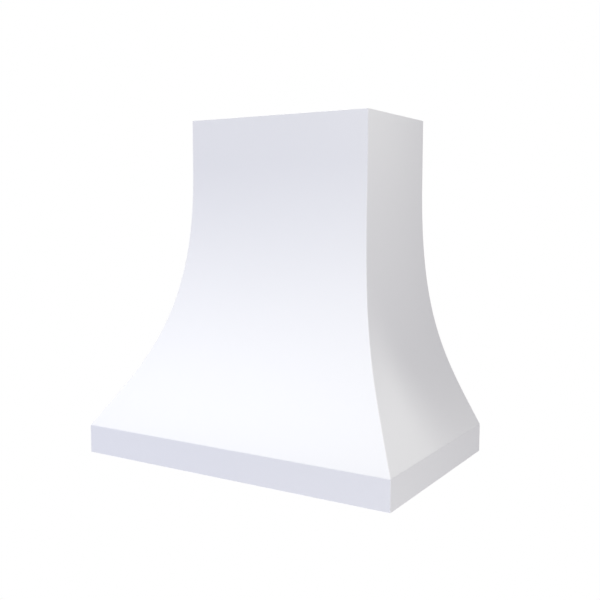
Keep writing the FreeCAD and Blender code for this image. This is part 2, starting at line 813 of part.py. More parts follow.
def filter_frame(middle):
    """Channel-section frame with two tabs that hang on the rear strip of the liner."""
    left, right = middle - filter_width / 2, middle + filter_width / 2
    frame = box(left, right, filter_front, filter_rear, liner_under, filter_top)
    frame = frame.cut([
        box(
            left + filter_lip, right - filter_lip, filter_front + filter_lip, filter_rear - filter_lip,
            liner_under - 1, filter_top + 1,
        ),
        box(
            left + filter_sheet, right - filter_sheet,
            filter_front + filter_sheet, filter_rear - filter_sheet,
            liner_under + filter_sheet, filter_top - filter_sheet,
        ),
    ])
    tabs = []
    for x in (middle - filter_width / 4, middle + filter_width / 4):
        tabs.append(box(
            x - tab_width / 2, x + tab_width / 2, filter_rear - filter_sheet, bay_rear + tab_reach,
            tab_z, tab_z + filter_sheet,
        ))
    return joined(frame, *tabs)


def baffle(middle, floor, up):
    """One baffle: a channel whose legs point up, or down."""
    left, right = middle - baffle_width / 2, middle + baffle_width / 2
    ceiling = floor + baffle_leg
    channel = box(left, right, baffle_front, baffle_rear, floor, ceiling)
    low, high = (floor + baffle_sheet, ceiling) if up else (floor, ceiling - baffle_sheet)
    return channel.cut(box(left + baffle_sheet, right - baffle_sheet, baffle_front, baffle_rear, low, high))


def filter_baffles(middle):
    """Lower channels with gaps between them, and upper channels that cover the gaps."""
    window_left = middle - window_width / 2
    lower_floor = liner_under + filter_sheet
    upper_floor = filter_top - filter_sheet - baffle_leg
    step = baffle_width + baffle_gap
    solids = []
    for i in range(baffle_count):
        solids.append(baffle(window_left + baffle_gap + baffle_width / 2 + i * step, lower_floor, True))
    for i in range(baffle_count + 1):
        solids.append(baffle(window_left + baffle_gap / 2 + i * step, upper_floor, False))
    return solids


def filter_handle(middle):
    """Bent wire pull under the front rail."""
    y = filter_front + filter_lip / 2
    low = liner_under - handle_drop
    half = handle_width / 2
    inner = handle_bend * (1 - math.sqrt(0.5))
    edges = []
    for side in (-1, 1):
        x = middle + side * half
        edges.append(Part.makeLine(Vec(x, y, liner_under), Vec(x, y, low + handle_bend)))
        edges.append(Part.Arc(
            Vec(x, y, low + handle_bend),
            Vec(x - side * inner, y, low + inner),
            Vec(x - side * handle_bend, y, low),
        ).toShape())
    edges.append(Part.makeLine(
        Vec(middle - half + handle_bend, y, low), Vec(middle + half - handle_bend, y, low)
    ))
    return wire_round(Part.Wire(Part.__sortEdges__(edges)), handle_wire)


def spring_clip(x):
    """Leaf clip over the front stiffener of the bay, with a bump that grips the filter's rail."""
    left, right = x - clip_width / 2, x + clip_width / 2
    fore = bay_front - liner_sheet
    rear = bay_front + clip_sheet
    leg_low = liner_under + bay_stiffener / 3
    bump = rod(clip_bump, Vec(left, rear, leg_low + 2 * clip_bump), X_AXIS, clip_width)
    return joined(
        box(left, right, fore - clip_sheet, rear, stiffener_top, stiffener_top + clip_sheet),
        box(left, right, fore - clip_sheet, fore, leg_low, stiffener_top),
        box(left, right, bay_front, rear, leg_low, stiffener_top),
        bump.common(box(left, right, bay_front, rear + clip_bump, liner_under, stiffener_top)),
    )


filter_step = filter_width + filter_gap
filter_names = ["filter_%d" % (i + 1) for i in range(filter_count)]
clips = []
for i, name in enumerate(filter_names):
    middle = (i - (filter_count - 1) / 2) * filter_step
    save(name + "_frame", filter_frame(middle))
    save(name + "_baffles", *filter_baffles(middle))
    save(name + "_handle", filter_handle(middle))
    clips += [spring_clip(middle - filter_width / 4), spring_clip(middle + filter_width / 4)]
save("filter_clips", *clips)

# Lamps in the front strip, each with straight cooling fins on its back
fin_gaps_each_side = int(lamp_radius / lamp_fin_pitch)
for name, x in (("left", -lamp_x), ("right", lamp_x)):
    base = Vec(x, lamp_y, liner_under)
    bezel_face = base - Z_AXIS * lamp_bezel_depth
    bezel = Part.makeCone(
        lamp_bezel_radius - lamp_bezel_flare, lamp_bezel_radius, lamp_bezel_depth, bezel_face, Z_AXIS
    ).cut(rod(lamp_lens_radius + seat_gap, bezel_face, Z_AXIS, lamp_bezel_depth))
    lens = rod(lamp_lens_radius, base - Z_AXIS * lamp_lens_sheet, Z_AXIS, lamp_lens_sheet)
    body = rod(lamp_radius, base, Z_AXIS, lamp_height)
    lamp_top = liner_under + lamp_height
    fin_gaps = []
    for i in range(-fin_gaps_each_side, fin_gaps_each_side + 1):
        left = x + i * lamp_fin_pitch - lamp_fin_gap / 2
        fin_gaps.append(box(
            left, left + lamp_fin_gap, lamp_y - lamp_radius, lamp_y + lamp_radius,
            lamp_top - lamp_fin_depth, lamp_top,
        ))
    ear_z = liner_top + seat_gap
    ear_reach = lamp_radius + lamp_ear
    ear = box(
        x - ear_reach, x + ear_reach, lamp_y - lamp_ear / 2, lamp_y + lamp_ear / 2,
        ear_z, ear_z + liner_sheet,
    )
    save(name + "_lamp_bezel", bezel)
    save(name + "_lamp_lens", lens)
    save(name + "_lamp_body", joined(body.cut(fin_gaps), ear))

# Control plate, buttons and switch housing
plate_x = slot_x + control_plate_margin
plate_y = control_plate_depth / 2
plate_low = liner_under - control_plate_sheet
button_x = [(i - (button_count - 1) / 2) * button_pitch for i in range(button_count)]
control_plate = box(-plate_x, plate_x, lamp_y - plate_y, lamp_y + plate_y, plate_low, liner_under)
control_plate = control_plate.makeFillet(control_plate_corner, upright_edges(control_plate))
for x in button_x:
    control_plate = control_plate.cut(rod(
        button_radius + button_gap, Vec(x, lamp_y, plate_low - 1), Z_AXIS, control_plate_sheet + 2
    ))
collar_low = liner_under + seat_gap
collar_high = collar_low + button_collar
pocket_top = collar_high + button_travel + 2 * seat_gap
stem_top = collar_high + stem_length
switch_x = slot_x + switch_wall
switch_front = lamp_y - switch_depth / 2
switch_housing = box(
    -switch_x, switch_x, switch_front, switch_front + switch_depth, liner_top, liner_top + switch_height
)
switch_cuts = [box(-slot_x, slot_x, lamp_y - slot_y, lamp_y + slot_y, liner_top, pocket_top)]
for x in button_x:
    switch_cuts.append(rod(
        stem_radius + button_gap, Vec(x, lamp_y, pocket_top - 1), Z_AXIS,
        stem_top + button_travel + seat_gap - pocket_top + 1,
    ))
switch_housing = switch_housing.cut(switch_cuts)
for i, x in enumerate(button_x):
    face_z = plate_low - button_proud
    cap = rod(button_radius, Vec(x, lamp_y, face_z), Z_AXIS, collar_low - face_z)
    cap = cap.makeChamfer(button_chamfer, [e for e in cap.Edges if abs(e.BoundBox.ZMax - face_z) < 0.01])
    save("button_%d" % (i + 1), joined(
        cap,
        rod(button_radius + button_collar, Vec(x, lamp_y, collar_low), Z_AXIS, button_collar),
        rod(stem_radius, Vec(x, lamp_y, collar_high), Z_AXIS, stem_length),
    ))

# Junction cover on the back panel, with the supply bushing and the terminal block inside it
cover_face = back_inner - junction_depth
cover_left, cover_right = junction_x - junction_width / 2, junction_x + junction_width / 2
cover_low, cover_high = junction_z - junction_height / 2, junction_z + junction_height / 2
junction_cover = joined(
    box(cover_left, cover_right, cover_face, back_inner, cover_low, cover_high),
    box(
        cover_left - junction_ear, cover_right + junction_ear, back_inner - junction_sheet, back_inner,
        junction_z - junction_ear / 2, junction_z + junction_ear / 2,
    ),
)
junction_cover = junction_cover.cut([box(
    cover_left + junction_sheet, cover_right - junction_sheet, cover_face + junction_sheet, back_inner,
    cover_low + junction_sheet, cover_high - junction_sheet,
)] + junction_holes)
junction_grip = junction_sheet + shell_sheet - screw_end
junction_screws = [pan_screw(p, Y_AXIS, junction_grip) for p in junction_screw_points]
terminal_face = back_inner - terminal_depth
terminal_low = junction_z + weld_gap
terminal_block = box(
    junction_x - terminal_width / 2, junction_x + terminal_width / 2, terminal_face, back_inner,
    terminal_low, terminal_low + terminal_height,
)
for i in range(terminal_count):
    x = junction_x + (i - (terminal_count - 1) / 2) * terminal_width / terminal_count
    hole_start = Vec(x, terminal_face, terminal_low + terminal_height / 2)
    terminal_block = terminal_block.cut(rod(terminal_hole_radius, hole_start, Y_AXIS, terminal_depth / 2))
bushing_out = supply_hole_radius - screw_hole_gap
bushing_nut = 2 * junction_sheet
supply_bushing = joined(
    rod(bushing_out, supply_point - Y_AXIS * supply_bushing_length, Y_AXIS, supply_bushing_length),
    rod(bushing_out + bushing_nut, supply_point + Y_AXIS * (back_inner - bushing_nut), Y_AXIS, bushing_nut),
)
supply_bushing = supply_bushing.cut(rod(
    supply_bore_radius, supply_point - Y_AXIS * 2 * supply_bushing_length, Y_AXIS, 4 * supply_bushing_length
))

# Cables: one up to the motor, one along the liner to the switches
cable_y = back_inner - cable_wall_gap
motor_cable = cable([
    Vec(junction_x, cable_y, cover_high),
    Vec(junction_x, cable_y, axis_z),
    Vec(junction_x, axis_y, axis_z),
    Vec(motor_rear, axis_y, axis_z),
])
lay_stand = cable_radius + cable_clip_wall
lay_z = liner_top + lay_stand
lay_x = bay_x + end_strip / 2
lay_y = recess_front + (front_strip / 2 - lamp_bezel_radius) / 2
drop_x = cover_right - cable_entry_inset
drop_y = back_inner - cable_drop_gap
entry_x = switch_x - cable_entry_inset
control_cable = cable([
    Vec(drop_x, drop_y, cover_low),
    Vec(drop_x, drop_y, lay_z),
    Vec(lay_x, drop_y, lay_z),
    Vec(lay_x, lay_y, lay_z),
    Vec(entry_x, lay_y, lay_z),
    Vec(entry_x, switch_front, lay_z),
])
cable_clips = [cable_clip(Vec(lamp_x / 2, lay_y, lay_z), X_AXIS, -Z_AXIS, lay_stand)]
for share in (1 / 3, 2 / 3):
    riser_z = cover_high + share * (axis_z - cover_high)
    run_y = drop_y + share * (lay_y - drop_y)
    cable_clips.append(cable_clip(Vec(junction_x, cable_y, riser_z), Z_AXIS, Y_AXIS, cable_wall_gap))
    cable_clips.append(cable_clip(Vec(lay_x, run_y, lay_z), Y_AXIS, -Z_AXIS, lay_stand))

for name, solids in {
    "front_panel": [front_panel],
    "left_side_panel": [left_side_panel],
    "right_side_panel": [right_side_panel],
    "back_panel": [back_panel],
    "top_plate": [top_plate],
    "liner_pan": [liner_pan],
    "liner_screws": liner_screws,
    "duct_collar": [duct_collar],
    "collar_screws": collar_screws,
    "damper_rod": [damper_rod],
    "front_damper_flap": [front_damper_flap],
    "rear_damper_flap": [rear_damper_flap],
    "outlet_flange": [outlet_flange],
    "outlet_screws": outlet_screws,
    "scroll_wrap": [scroll_wrap],
    "left_scroll_cheek": [left_cheek],
    "right_scroll_cheek": [right_cheek],
    "left_inlet_ring": [left_inlet_ring],
    "right_inlet_ring": [right_inlet_ring],
    "inlet_screws": inlet_screws,
    "impeller": [impeller],
    "motor_shaft": [motor_shaft],
    "motor": [motor],
    "motor_bracket": [motor_bracket],
    "motor_screws": motor_screws,
    "capacitor": [capacitor],
    "control_plate": [control_plate],
    "switch_housing": [switch_housing],
    "junction_cover": [junction_cover],
    "junction_screws": junction_screws,
    "terminal_block": [terminal_block],
    "supply_bushing": [supply_bushing],
    "motor_cable": [motor_cable],
    "control_cable": [control_cable],
    "cable_clips": cable_clips,
}.items():
    save(name, *solids)
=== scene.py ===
"""Looks of a white curved range hood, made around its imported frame."""
import json
import logging
import math
from collections.abc import Callable
from dataclasses import dataclass, field
from enum import Enum

import bmesh
import bpy
from mathutils import Matrix, Vector

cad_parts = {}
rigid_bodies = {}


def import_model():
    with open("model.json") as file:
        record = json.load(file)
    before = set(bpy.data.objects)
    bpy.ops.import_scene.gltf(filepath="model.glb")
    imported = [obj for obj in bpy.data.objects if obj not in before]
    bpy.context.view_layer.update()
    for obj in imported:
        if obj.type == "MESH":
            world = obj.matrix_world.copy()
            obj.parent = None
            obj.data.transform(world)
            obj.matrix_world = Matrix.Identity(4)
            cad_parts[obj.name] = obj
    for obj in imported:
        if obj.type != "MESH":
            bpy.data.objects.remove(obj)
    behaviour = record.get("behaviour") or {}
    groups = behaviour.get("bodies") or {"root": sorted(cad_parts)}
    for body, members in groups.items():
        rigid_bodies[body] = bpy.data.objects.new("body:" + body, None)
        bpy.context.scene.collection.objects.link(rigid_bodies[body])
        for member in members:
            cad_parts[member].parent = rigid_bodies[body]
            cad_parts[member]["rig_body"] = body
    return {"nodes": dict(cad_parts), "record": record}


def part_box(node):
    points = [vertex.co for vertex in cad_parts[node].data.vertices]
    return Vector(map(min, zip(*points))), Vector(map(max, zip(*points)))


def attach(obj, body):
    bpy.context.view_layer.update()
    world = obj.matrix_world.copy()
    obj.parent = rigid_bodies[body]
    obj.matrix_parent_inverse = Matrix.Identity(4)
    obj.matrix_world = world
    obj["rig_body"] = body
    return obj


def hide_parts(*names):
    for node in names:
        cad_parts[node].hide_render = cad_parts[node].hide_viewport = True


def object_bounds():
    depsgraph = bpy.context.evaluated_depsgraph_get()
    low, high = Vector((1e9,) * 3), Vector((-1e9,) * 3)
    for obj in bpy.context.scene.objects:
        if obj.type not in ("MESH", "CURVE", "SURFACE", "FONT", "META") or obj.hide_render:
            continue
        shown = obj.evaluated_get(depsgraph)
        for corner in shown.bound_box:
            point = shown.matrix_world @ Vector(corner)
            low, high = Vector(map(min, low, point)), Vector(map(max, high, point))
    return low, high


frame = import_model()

MM = 0.001
# Points of one shape that are this near are the same point
WELD = 0.001 * MM
# The same for what a cut leaves, and for edges that lie at one level
TOUCH = 0.01 * MM
# Faces that meet flatter than the first angle are one, and edges sharper than the second are eased
FLAT_ANGLE = math.radians(0.3)
SHARP_ANGLE = math.radians(35.0)
EASE_SEGMENTS = 2
# Scale of a brushed pattern along its scratches, as a share of the scale across them
GRAIN_STRETCH = 0.006
# A Mix node has several sockets of one name, so they go by number
MIX_SHARE, MIX_VALUE_A, MIX_VALUE_B, MIX_VALUE = 0, 2, 3, 0
MIX_COLOUR_A, MIX_COLOUR_B, MIX_COLOUR = 6, 7, 2
LOG = logging.getLogger("range_hood")
CAD_NODES = frame["nodes"]
CAD_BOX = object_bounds()
SLOT_OF = {part["node"]: part["material_slot"] for part in frame["record"]["subparts"]}

Profile = list[tuple[float, float]]
Section = tuple[Profile, bool]
Corner = tuple[float, float, float]
Box = tuple[Vector, Vector]
Edges = list[bmesh.types.BMEdge]
Values = dict[str | int, object]
Links = dict[str | int, tuple[bpy.types.Node, str | int]]


def linear(colour: str) -> tuple[float, float, float, float]:
    """Turns an sRGB hex colour into linear light.

    Args:
        colour: Six hex digits after a hash sign.

    Returns:
        Red, green, blue and a full alpha.
    """
    shares = [int(colour[i:i + 2], 16) / 255 for i in (1, 3, 5)]
    light = [c / 12.92 if c <= 0.04045 else ((c + 0.055) / 1.055) ** 2.4 for c in shares]
    return (*light, 1.0)


def per_metre(size_mm: float) -> float:
    """Pattern scale at which one feature is this many millimetres wide."""
    return 1.0 / (size_mm * MM)


def bare_tree(owner: bpy.types.ID) -> bpy.types.NodeTree:
    """Empties the node tree of a material or world.

    Args:
        owner: The material or world.

    Returns:
        Its tree, without a node.
    """
    owner.use_nodes = True
    owner.node_tree.nodes.clear()
    return owner.node_tree


def add_node(
    tree: bpy.types.NodeTree, kind: str, values: Values | None = None, links: Links | None = None,
    **settings: object,
) -> bpy.types.Node:
    """Adds one node to a material or world.

    Args:
        tree: Node tree that takes the node.
        kind: Blender's type name of the node.
        values: Constant for each input socket, by name or number.
        links: Source node and output for each input socket that is linked.
        settings: Properties of the node itself.

    Returns:
        The new node.
    """
    node = tree.nodes.new(kind)
    for key, value in settings.items():
        setattr(node, key, value)
    for socket, value in (values or {}).items():
        node.inputs[socket].default_value = value
    for socket, (source, output) in (links or {}).items():
        tree.links.new(source.outputs[output], node.inputs[socket])
    return node


class Grain(Enum):
    """Direction in which a sheet was brushed, as the share of the pattern's scale on each axis."""

    ALONG_X = (GRAIN_STRETCH, 1.0, 1.0)
    ALONG_Y = (1.0, GRAIN_STRETCH, 1.0)


@dataclass(frozen=True)
class Finish:
    """A surface finish that becomes one node material."""

    name: str

    def material(self) -> bpy.types.Material:
        """Makes the material, or finds it if an earlier piece has it already.

        Returns:
            The material, shared by every piece in this finish.
        """
        made = bpy.data.materials.get(self.name)
        if made is None:
            made = bpy.data.materials.new(self.name)
            tree = bare_tree(made)
            shader = add_node(tree, "ShaderNodeBsdfPrincipled", *self.surface(tree))
            add_node(tree, "ShaderNodeOutputMaterial", links={"Surface": (shader, "BSDF")})
        return made

    def surface(self, tree: bpy.types.NodeTree) -> tuple[Values, Links]:
        """Adds the nodes of the finish's pattern.

        Args:
            tree: Tree of the material.

        Returns:
            Constants and links for the sockets of its shader.
        """
        raise NotImplementedError


@dataclass(frozen=True)
class PowderCoat(Finish):
    """Polyester powder, sprayed and baked: even satin white with a faint orange peel."""

    colour: str = "#E6E6E7"
    roughness: float = 0.62
    roughness_spread: float = 0.04
    specular: float = 0.25
    peel_mm: float = 1.6
    peel_detail: float = 1.0
    peel_depth_mm: float = 0.02
    peel_strength: float = 0.25
    cloud_mm: float = 220.0
    cloud_detail: float = 3.0

    def surface(self, tree: bpy.types.NodeTree) -> tuple[Values, Links]:
        """Adds the peel as bump and slow clouds of gloss.

        Args:
            tree: Tree of the material.

        Returns:
            Constants and links for the sockets of its shader.
        """
        place = add_node(tree, "ShaderNodeTexCoord")
        at = {"Vector": (place, "Object")}
        peel = add_node(
            tree, "ShaderNodeTexNoise",
            {"Scale": per_metre(self.peel_mm), "Detail": self.peel_detail}, at,
        )
        bump = add_node(
            tree, "ShaderNodeBump",
            {"Strength": self.peel_strength, "Distance": self.peel_depth_mm * MM},
            {"Height": (peel, "Fac")},
        )
        cloud = add_node(
            tree, "ShaderNodeTexNoise",
            {"Scale": per_metre(self.cloud_mm), "Detail": self.cloud_detail}, at,
        )
        gloss = add_node(
            tree, "ShaderNodeMapRange",
            {
                "To Min": self.roughness - self.roughness_spread,
                "To Max": self.roughness + self.roughness_spread,
            },
            {"Value": (cloud, "Fac")},
        )
        return (
            {"Base Color": linear(self.colour), "Specular IOR Level": self.specular},
            {"Roughness": (gloss, "Result"), "Normal": (bump, "Normal")},
        )


@dataclass(frozen=True)
class ZincSheet(Finish):
    """Hot-dipped zinc on steel: grey metal broken into frosty spangles."""

    bright: str = "#C3C6C9"
    dull: str = "#B2B6BA"
    spangle_mm: float = 11.0
    ragged_mm: float = 4.0
    ragged_detail: float = 2.0
    frost_mm: float = 1.5
    frost_detail: float = 2.0
    frost_share: float = 0.45
    smooth: float = 0.36
    frosted: float = 0.5

    def surface(self, tree: bpy.types.NodeTree) -> tuple[Values, Links]:
        """Adds a tone and a gloss for each spangle, and fine frost over them.

        Args:
            tree: Tree of the material.

        Returns:
            Constants and links for the sockets of its shader.
        """
        place = add_node(tree, "ShaderNodeTexCoord")
        at = {"Vector": (place, "Object")}
        ragged = add_node(
            tree, "ShaderNodeTexNoise",
            {"Scale": per_metre(self.ragged_mm), "Detail": self.ragged_detail}, at,
        )
        shift = add_node(
            tree, "ShaderNodeVectorMath", {1: (self.ragged_mm * MM,) * 3},
            {0: (ragged, "Color"), 2: (place, "Object")}, operation="MULTIPLY_ADD",
        )
        cells = add_node(
            tree, "ShaderNodeTexVoronoi", {"Scale": per_metre(self.spangle_mm)},
            {"Vector": (shift, "Vector")},
        )
        frost = add_node(
            tree, "ShaderNodeTexNoise",
            {"Scale": per_metre(self.frost_mm), "Detail": self.frost_detail}, at,
        )
        tone = add_node(tree, "ShaderNodeSeparateColor", links={"Color": (cells, "Color")})
        share = add_node(
            tree, "ShaderNodeMix", {MIX_SHARE: self.frost_share},
            {MIX_VALUE_A: (tone, "Red"), MIX_VALUE_B: (frost, "Fac")}, data_type="FLOAT",
        )
        mix = add_node(
            tree, "ShaderNodeMix",
            {MIX_COLOUR_A: linear(self.dull), MIX_COLOUR_B: linear(self.bright)},
            {MIX_SHARE: (share, MIX_VALUE)}, data_type="RGBA",
        )
        gloss = add_node(
            tree, "ShaderNodeMapRange", {"To Min": self.smooth, "To Max": self.frosted},
            {"Value": (tone, "Green")},
        )
        return (
            {"Metallic": 1.0},
            {"Base Color": (mix, MIX_COLOUR), "Roughness": (gloss, "Result")},
        )


@dataclass(frozen=True)
class BrushedSteel(Finish):
    """Stainless sheet drawn through abrasive belts: long fine scratches that blur reflections."""

    grain: Grain = Grain.ALONG_X
    bright: str = "#D3D3D1"
    dark: str = "#BDBDBB"
    # A belt's scratches are about 0.05 mm wide, and are drawn coarser so that they show
    scratch_mm: float = 0.5
    scratch_detail: float = 3.0
    scratch_depth_mm: float = 0.01
    scratch_strength: float = 0.2
    smooth: float = 0.26
    scratched: float = 0.42

    def surface(self, tree: bpy.types.NodeTree) -> tuple[Values, Links]:
        """Adds scratches in colour, gloss and bump.

        Args:
            tree: Tree of the material.

        Returns:
            Constants and links for the sockets of its shader.
        """
        place = add_node(tree, "ShaderNodeTexCoord")
        stretch = add_node(
            tree, "ShaderNodeMapping", {"Scale": self.grain.value}, {"Vector": (place, "Object")}
        )
        lines = add_node(
            tree, "ShaderNodeTexNoise",
            {"Scale": per_metre(self.scratch_mm), "Detail": self.scratch_detail},
            {"Vector": (stretch, "Vector")},
        )
        mix = add_node(
            tree, "ShaderNodeMix",
            {MIX_COLOUR_A: linear(self.dark), MIX_COLOUR_B: linear(self.bright)},
            {MIX_SHARE: (lines, "Fac")}, data_type="RGBA",
        )
        gloss = add_node(
            tree, "ShaderNodeMapRange", {"To Min": self.scratched, "To Max": self.smooth},
            {"Value": (lines, "Fac")},
        )
        bump = add_node(
            tree, "ShaderNodeBump",
            {"Strength": self.scratch_strength, "Distance": self.scratch_depth_mm * MM},
            {"Height": (lines, "Fac")},
        )
        return {"Metallic": 1.0}, {
            "Base Color": (mix, MIX_COLOUR), "Roughness": (gloss, "Result"),
            "Normal": (bump, "Normal"),
        }


@dataclass(frozen=True)
class BrightMetal(Finish):
    """Metal buffed or plated bright: clear reflections with a faint haze of wiping marks."""

    colour: str
    haze_mm: float
    haze_detail: float = 4.0
    clear: float = 0.1
    hazy: float = 0.22

    def surface(self, tree: bpy.types.NodeTree) -> tuple[Values, Links]:
        """Adds patches of haze in the gloss.

        Args:
            tree: Tree of the material.

        Returns:
            Constants and links for the sockets of its shader.
        """
        place = add_node(tree, "ShaderNodeTexCoord")
        haze = add_node(
            tree, "ShaderNodeTexNoise",
            {"Scale": per_metre(self.haze_mm), "Detail": self.haze_detail},
            {"Vector": (place, "Object")},
        )
        gloss = add_node(
            tree, "ShaderNodeMapRange", {"To Min": self.clear, "To Max": self.hazy},
            {"Value": (haze, "Fac")},
        )
        return (
            {"Base Color": linear(self.colour), "Metallic": 1.0},
            {"Roughness": (gloss, "Result")},
        )


@dataclass(frozen=True)
class Grained(Finish):
    """Moulded, cast or painted surface: one colour in two near tones with a fine grain."""

    light: str
    dark: str
    roughness: float
    grain_mm: float
    grain_detail: float = 2.0
    grain_depth_mm: float = 0.02
    grain_strength: float = 0.3
    roughness_spread: float = 0.06
    metallic: float = 0.0
    transmission: float = 0.0

    def surface(self, tree: bpy.types.NodeTree) -> tuple[Values, Links]:
        """Adds the grain in colour, gloss and bump.

        Args:
            tree: Tree of the material.

        Returns:
            Constants and links for the sockets of its shader.
        """
        place = add_node(tree, "ShaderNodeTexCoord")
        grain = add_node(
            tree, "ShaderNodeTexNoise",
            {"Scale": per_metre(self.grain_mm), "Detail": self.grain_detail},
            {"Vector": (place, "Object")},
        )
        mix = add_node(
            tree, "ShaderNodeMix",
            {MIX_COLOUR_A: linear(self.dark), MIX_COLOUR_B: linear(self.light)},
            {MIX_SHARE: (grain, "Fac")}, data_type="RGBA",
        )
        gloss = add_node(
            tree, "ShaderNodeMapRange",
            {
                "To Min": self.roughness - self.roughness_spread,
                "To Max": self.roughness + self.roughness_spread,
            },
            {"Value": (grain, "Fac")},
        )
        bump = add_node(
            tree, "ShaderNodeBump",
            {"Strength": self.grain_strength, "Distance": self.grain_depth_mm * MM},
            {"Height": (grain, "Fac")},
        )
        return {"Metallic": self.metallic, "Transmission Weight": self.transmission}, {
            "Base Color": (mix, MIX_COLOUR), "Roughness": (gloss, "Result"),
            "Normal": (bump, "Normal"),
        }


# Polyester powder baked on steel: an even satin white that shades softly round the flares
POWDER_COAT = PowderCoat("powder_coated_steel")
# Steel dipped in molten zinc and left bare: cool grey patches that catch the light one by one
ZINC_SHEET = ZincSheet("hot_dipped_galvanised_steel")
# Stainless steel brushed from side to side: reflections drawn out into soft streaks
LINER_STEEL = BrushedSteel("brushed_stainless_liner")
# The same steel brushed from front to back, so that the filters stand out from the liner
FILTER_STEEL = BrushedSteel("brushed_stainless_filter", Grain.ALONG_Y)
# Stainless steel buffed bright: sharp highlights on handles, buttons and bezels
BRIGHT_STEEL = BrightMetal("buffed_stainless", "#D8D8D8", 9.0)
# Steel plated with zinc: bluish bright screws with a cloudy haze
ZINC_PLATE = BrightMetal("zinc_plated_steel", "#B4B9C0", 4.0)
# Steel under baked black enamel: a deep even black with a soft gloss
BLACK_ENAMEL = Grained("black_enamelled_steel", "#1C1C1E", "#161617", 0.34, 2.0)
# Moulded ABS: dull near-black with the fine grain of its mould
BLACK_PLASTIC = Grained("moulded_black_abs", "#232325", "#1A1A1B", 0.55, 0.6)
# Moulded nylon without a dye: warm off-white with a waxy sheen
PALE_NYLON = Grained("moulded_natural_nylon", "#E4E0D4", "#D8D3C5", 0.45, 0.6)
# Polycarbonate frosted in its mould: milky white that hides what is behind it
FROSTED_LENS = Grained("frosted_polycarbonate", "#F4F4F0", "#ECECE6", 0.4, 1.2, transmission=0.3)
# Die-cast aluminium as it leaves the mould: dull light grey with a rough skin
CAST_ALUMINIUM = Grained(
    "die_cast_aluminium", "#B9BBBD", "#A3A5A8", 0.5, 1.4, grain_depth_mm=0.05, metallic=1.0
)
# Extruded PVC: soft matt black that shows no highlight line
CABLE_JACKET = Grained("extruded_pvc_jacket", "#26262A", "#1D1D20", 0.6, 0.8)

SLOT_FINISHES: dict[str, Finish] = {
    "powder_coat": POWDER_COAT,
    "galvanised": ZINC_SHEET,
    "stainless": LINER_STEEL,
    "bright_steel": BRIGHT_STEEL,
    "zinc_screw": ZINC_PLATE,
    "motor_paint": BLACK_ENAMEL,
    "black_plastic": BLACK_PLASTIC,
    "pale_plastic": PALE_NYLON,
    "lamp_lens": FROSTED_LENS,
    "lamp_body": CAST_ALUMINIUM,
    "cable_jacket": CABLE_JACKET,
}


def finish_of(node: str) -> Finish:
    """Finish of a CAD node: the filters are brushed the other way from the liner."""
    brushed_lengthwise = node.startswith("filter_") and SLOT_OF[node] == "stainless"
    return FILTER_STEEL if brushed_lengthwise else SLOT_FINISHES[SLOT_OF[node]]


def dress_nodes(*nodes: str) -> None:
    """Gives CAD nodes that keep their own meshes their finishes.

    Args:
        nodes: Names of the nodes.
    """
    for node in nodes:
        piece = CAD_NODES[node]
        if not piece.material_slots:
            piece.data.materials.append(None)
        piece.material_slots[0].material = finish_of(node).material()
        LOG.info("dressed %s in %s", node, finish_of(node).name)


def add_object(name: str, shape: bmesh.types.BMesh) -> bpy.types.Object:
    """Puts a bmesh into the scene as an object.

    Args:
        name: Name of the object and its mesh.
        shape: Its shape, which is freed.

    Returns:
        The object.
    """
    mesh = bpy.data.meshes.new(name)
    shape.to_mesh(mesh)
    shape.free()
    made = bpy.data.objects.new(name, mesh)
    bpy.context.scene.collection.objects.link(made)
    return made


def finish_piece(name: str, shape: bmesh.types.BMesh, *nodes: str) -> bpy.types.Object:
    """Turns a finished bmesh into a dressed piece that stands in for CAD nodes.

    Args:
        name: Name of the piece.
        shape: Its shape, which is freed.
        nodes: CAD nodes of one body and one slot that the piece replaces.

    Returns:
        The piece.
    """
    for face in shape.faces:
        face.smooth = True
    piece = add_object(name, shape)
    piece.data.materials.append(finish_of(nodes[0]).material())
    even = piece.modifiers.new("even_normals", "WEIGHTED_NORMAL")
    even.keep_sharp = True
    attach(piece, CAD_NODES[nodes[0]]["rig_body"])
    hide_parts(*nodes)
    LOG.info("built %s in place of %s", name, ", ".join(nodes))
    return piece


def merged_copy(node: str) -> bmesh.types.BMesh:
    """Copies a CAD node's mesh and joins its loose triangles.

    Args:
        node: Name of the node.

    Returns:
        The joined shape.
    """
    shape = bmesh.new()
    shape.from_mesh(CAD_NODES[node].data)
    bmesh.ops.remove_doubles(shape, verts=shape.verts, dist=WELD)
    return shape


def solid_boxes(node: str) -> list[Box]:
    """Finds the separate solids of a CAD node.

    Args:
        node: Name of the node.

    Returns:
        Lowest and highest corner of each solid, in order of place.
    """
    shape = merged_copy(node)
    left = set(shape.verts)
    boxes = []
    while left:
        grow = [left.pop()]
        places = []
        while grow:
            vert = grow.pop()
            places.append(vert.co.copy())
            near = {edge.other_vert(vert) for edge in vert.link_edges} & left
            left -= near
            grow.extend(near)
        boxes.append((
            Vector([min(p[i] for p in places) for i in range(3)]),
            Vector([max(p[i] for p in places) for i in range(3)]),
        ))
    shape.free()
    return sorted(boxes, key=lambda box: tuple(box[0]))


def round_edges(shape: bmesh.types.BMesh, edges: Edges, width: float, segments: int) -> None:
    """Rounds edges of a shape.

    Args:
        shape: The shape.
        edges: Edges to round.
        width: How far the rounding reaches from the edge.
        segments: Flats across the rounding.
    """
    bmesh.ops.bevel(
        shape, geom=edges, offset=width, offset_type="OFFSET", segments=segments, profile=0.5,
        affect="EDGES", clamp_overlap=False, material=-1,
    )


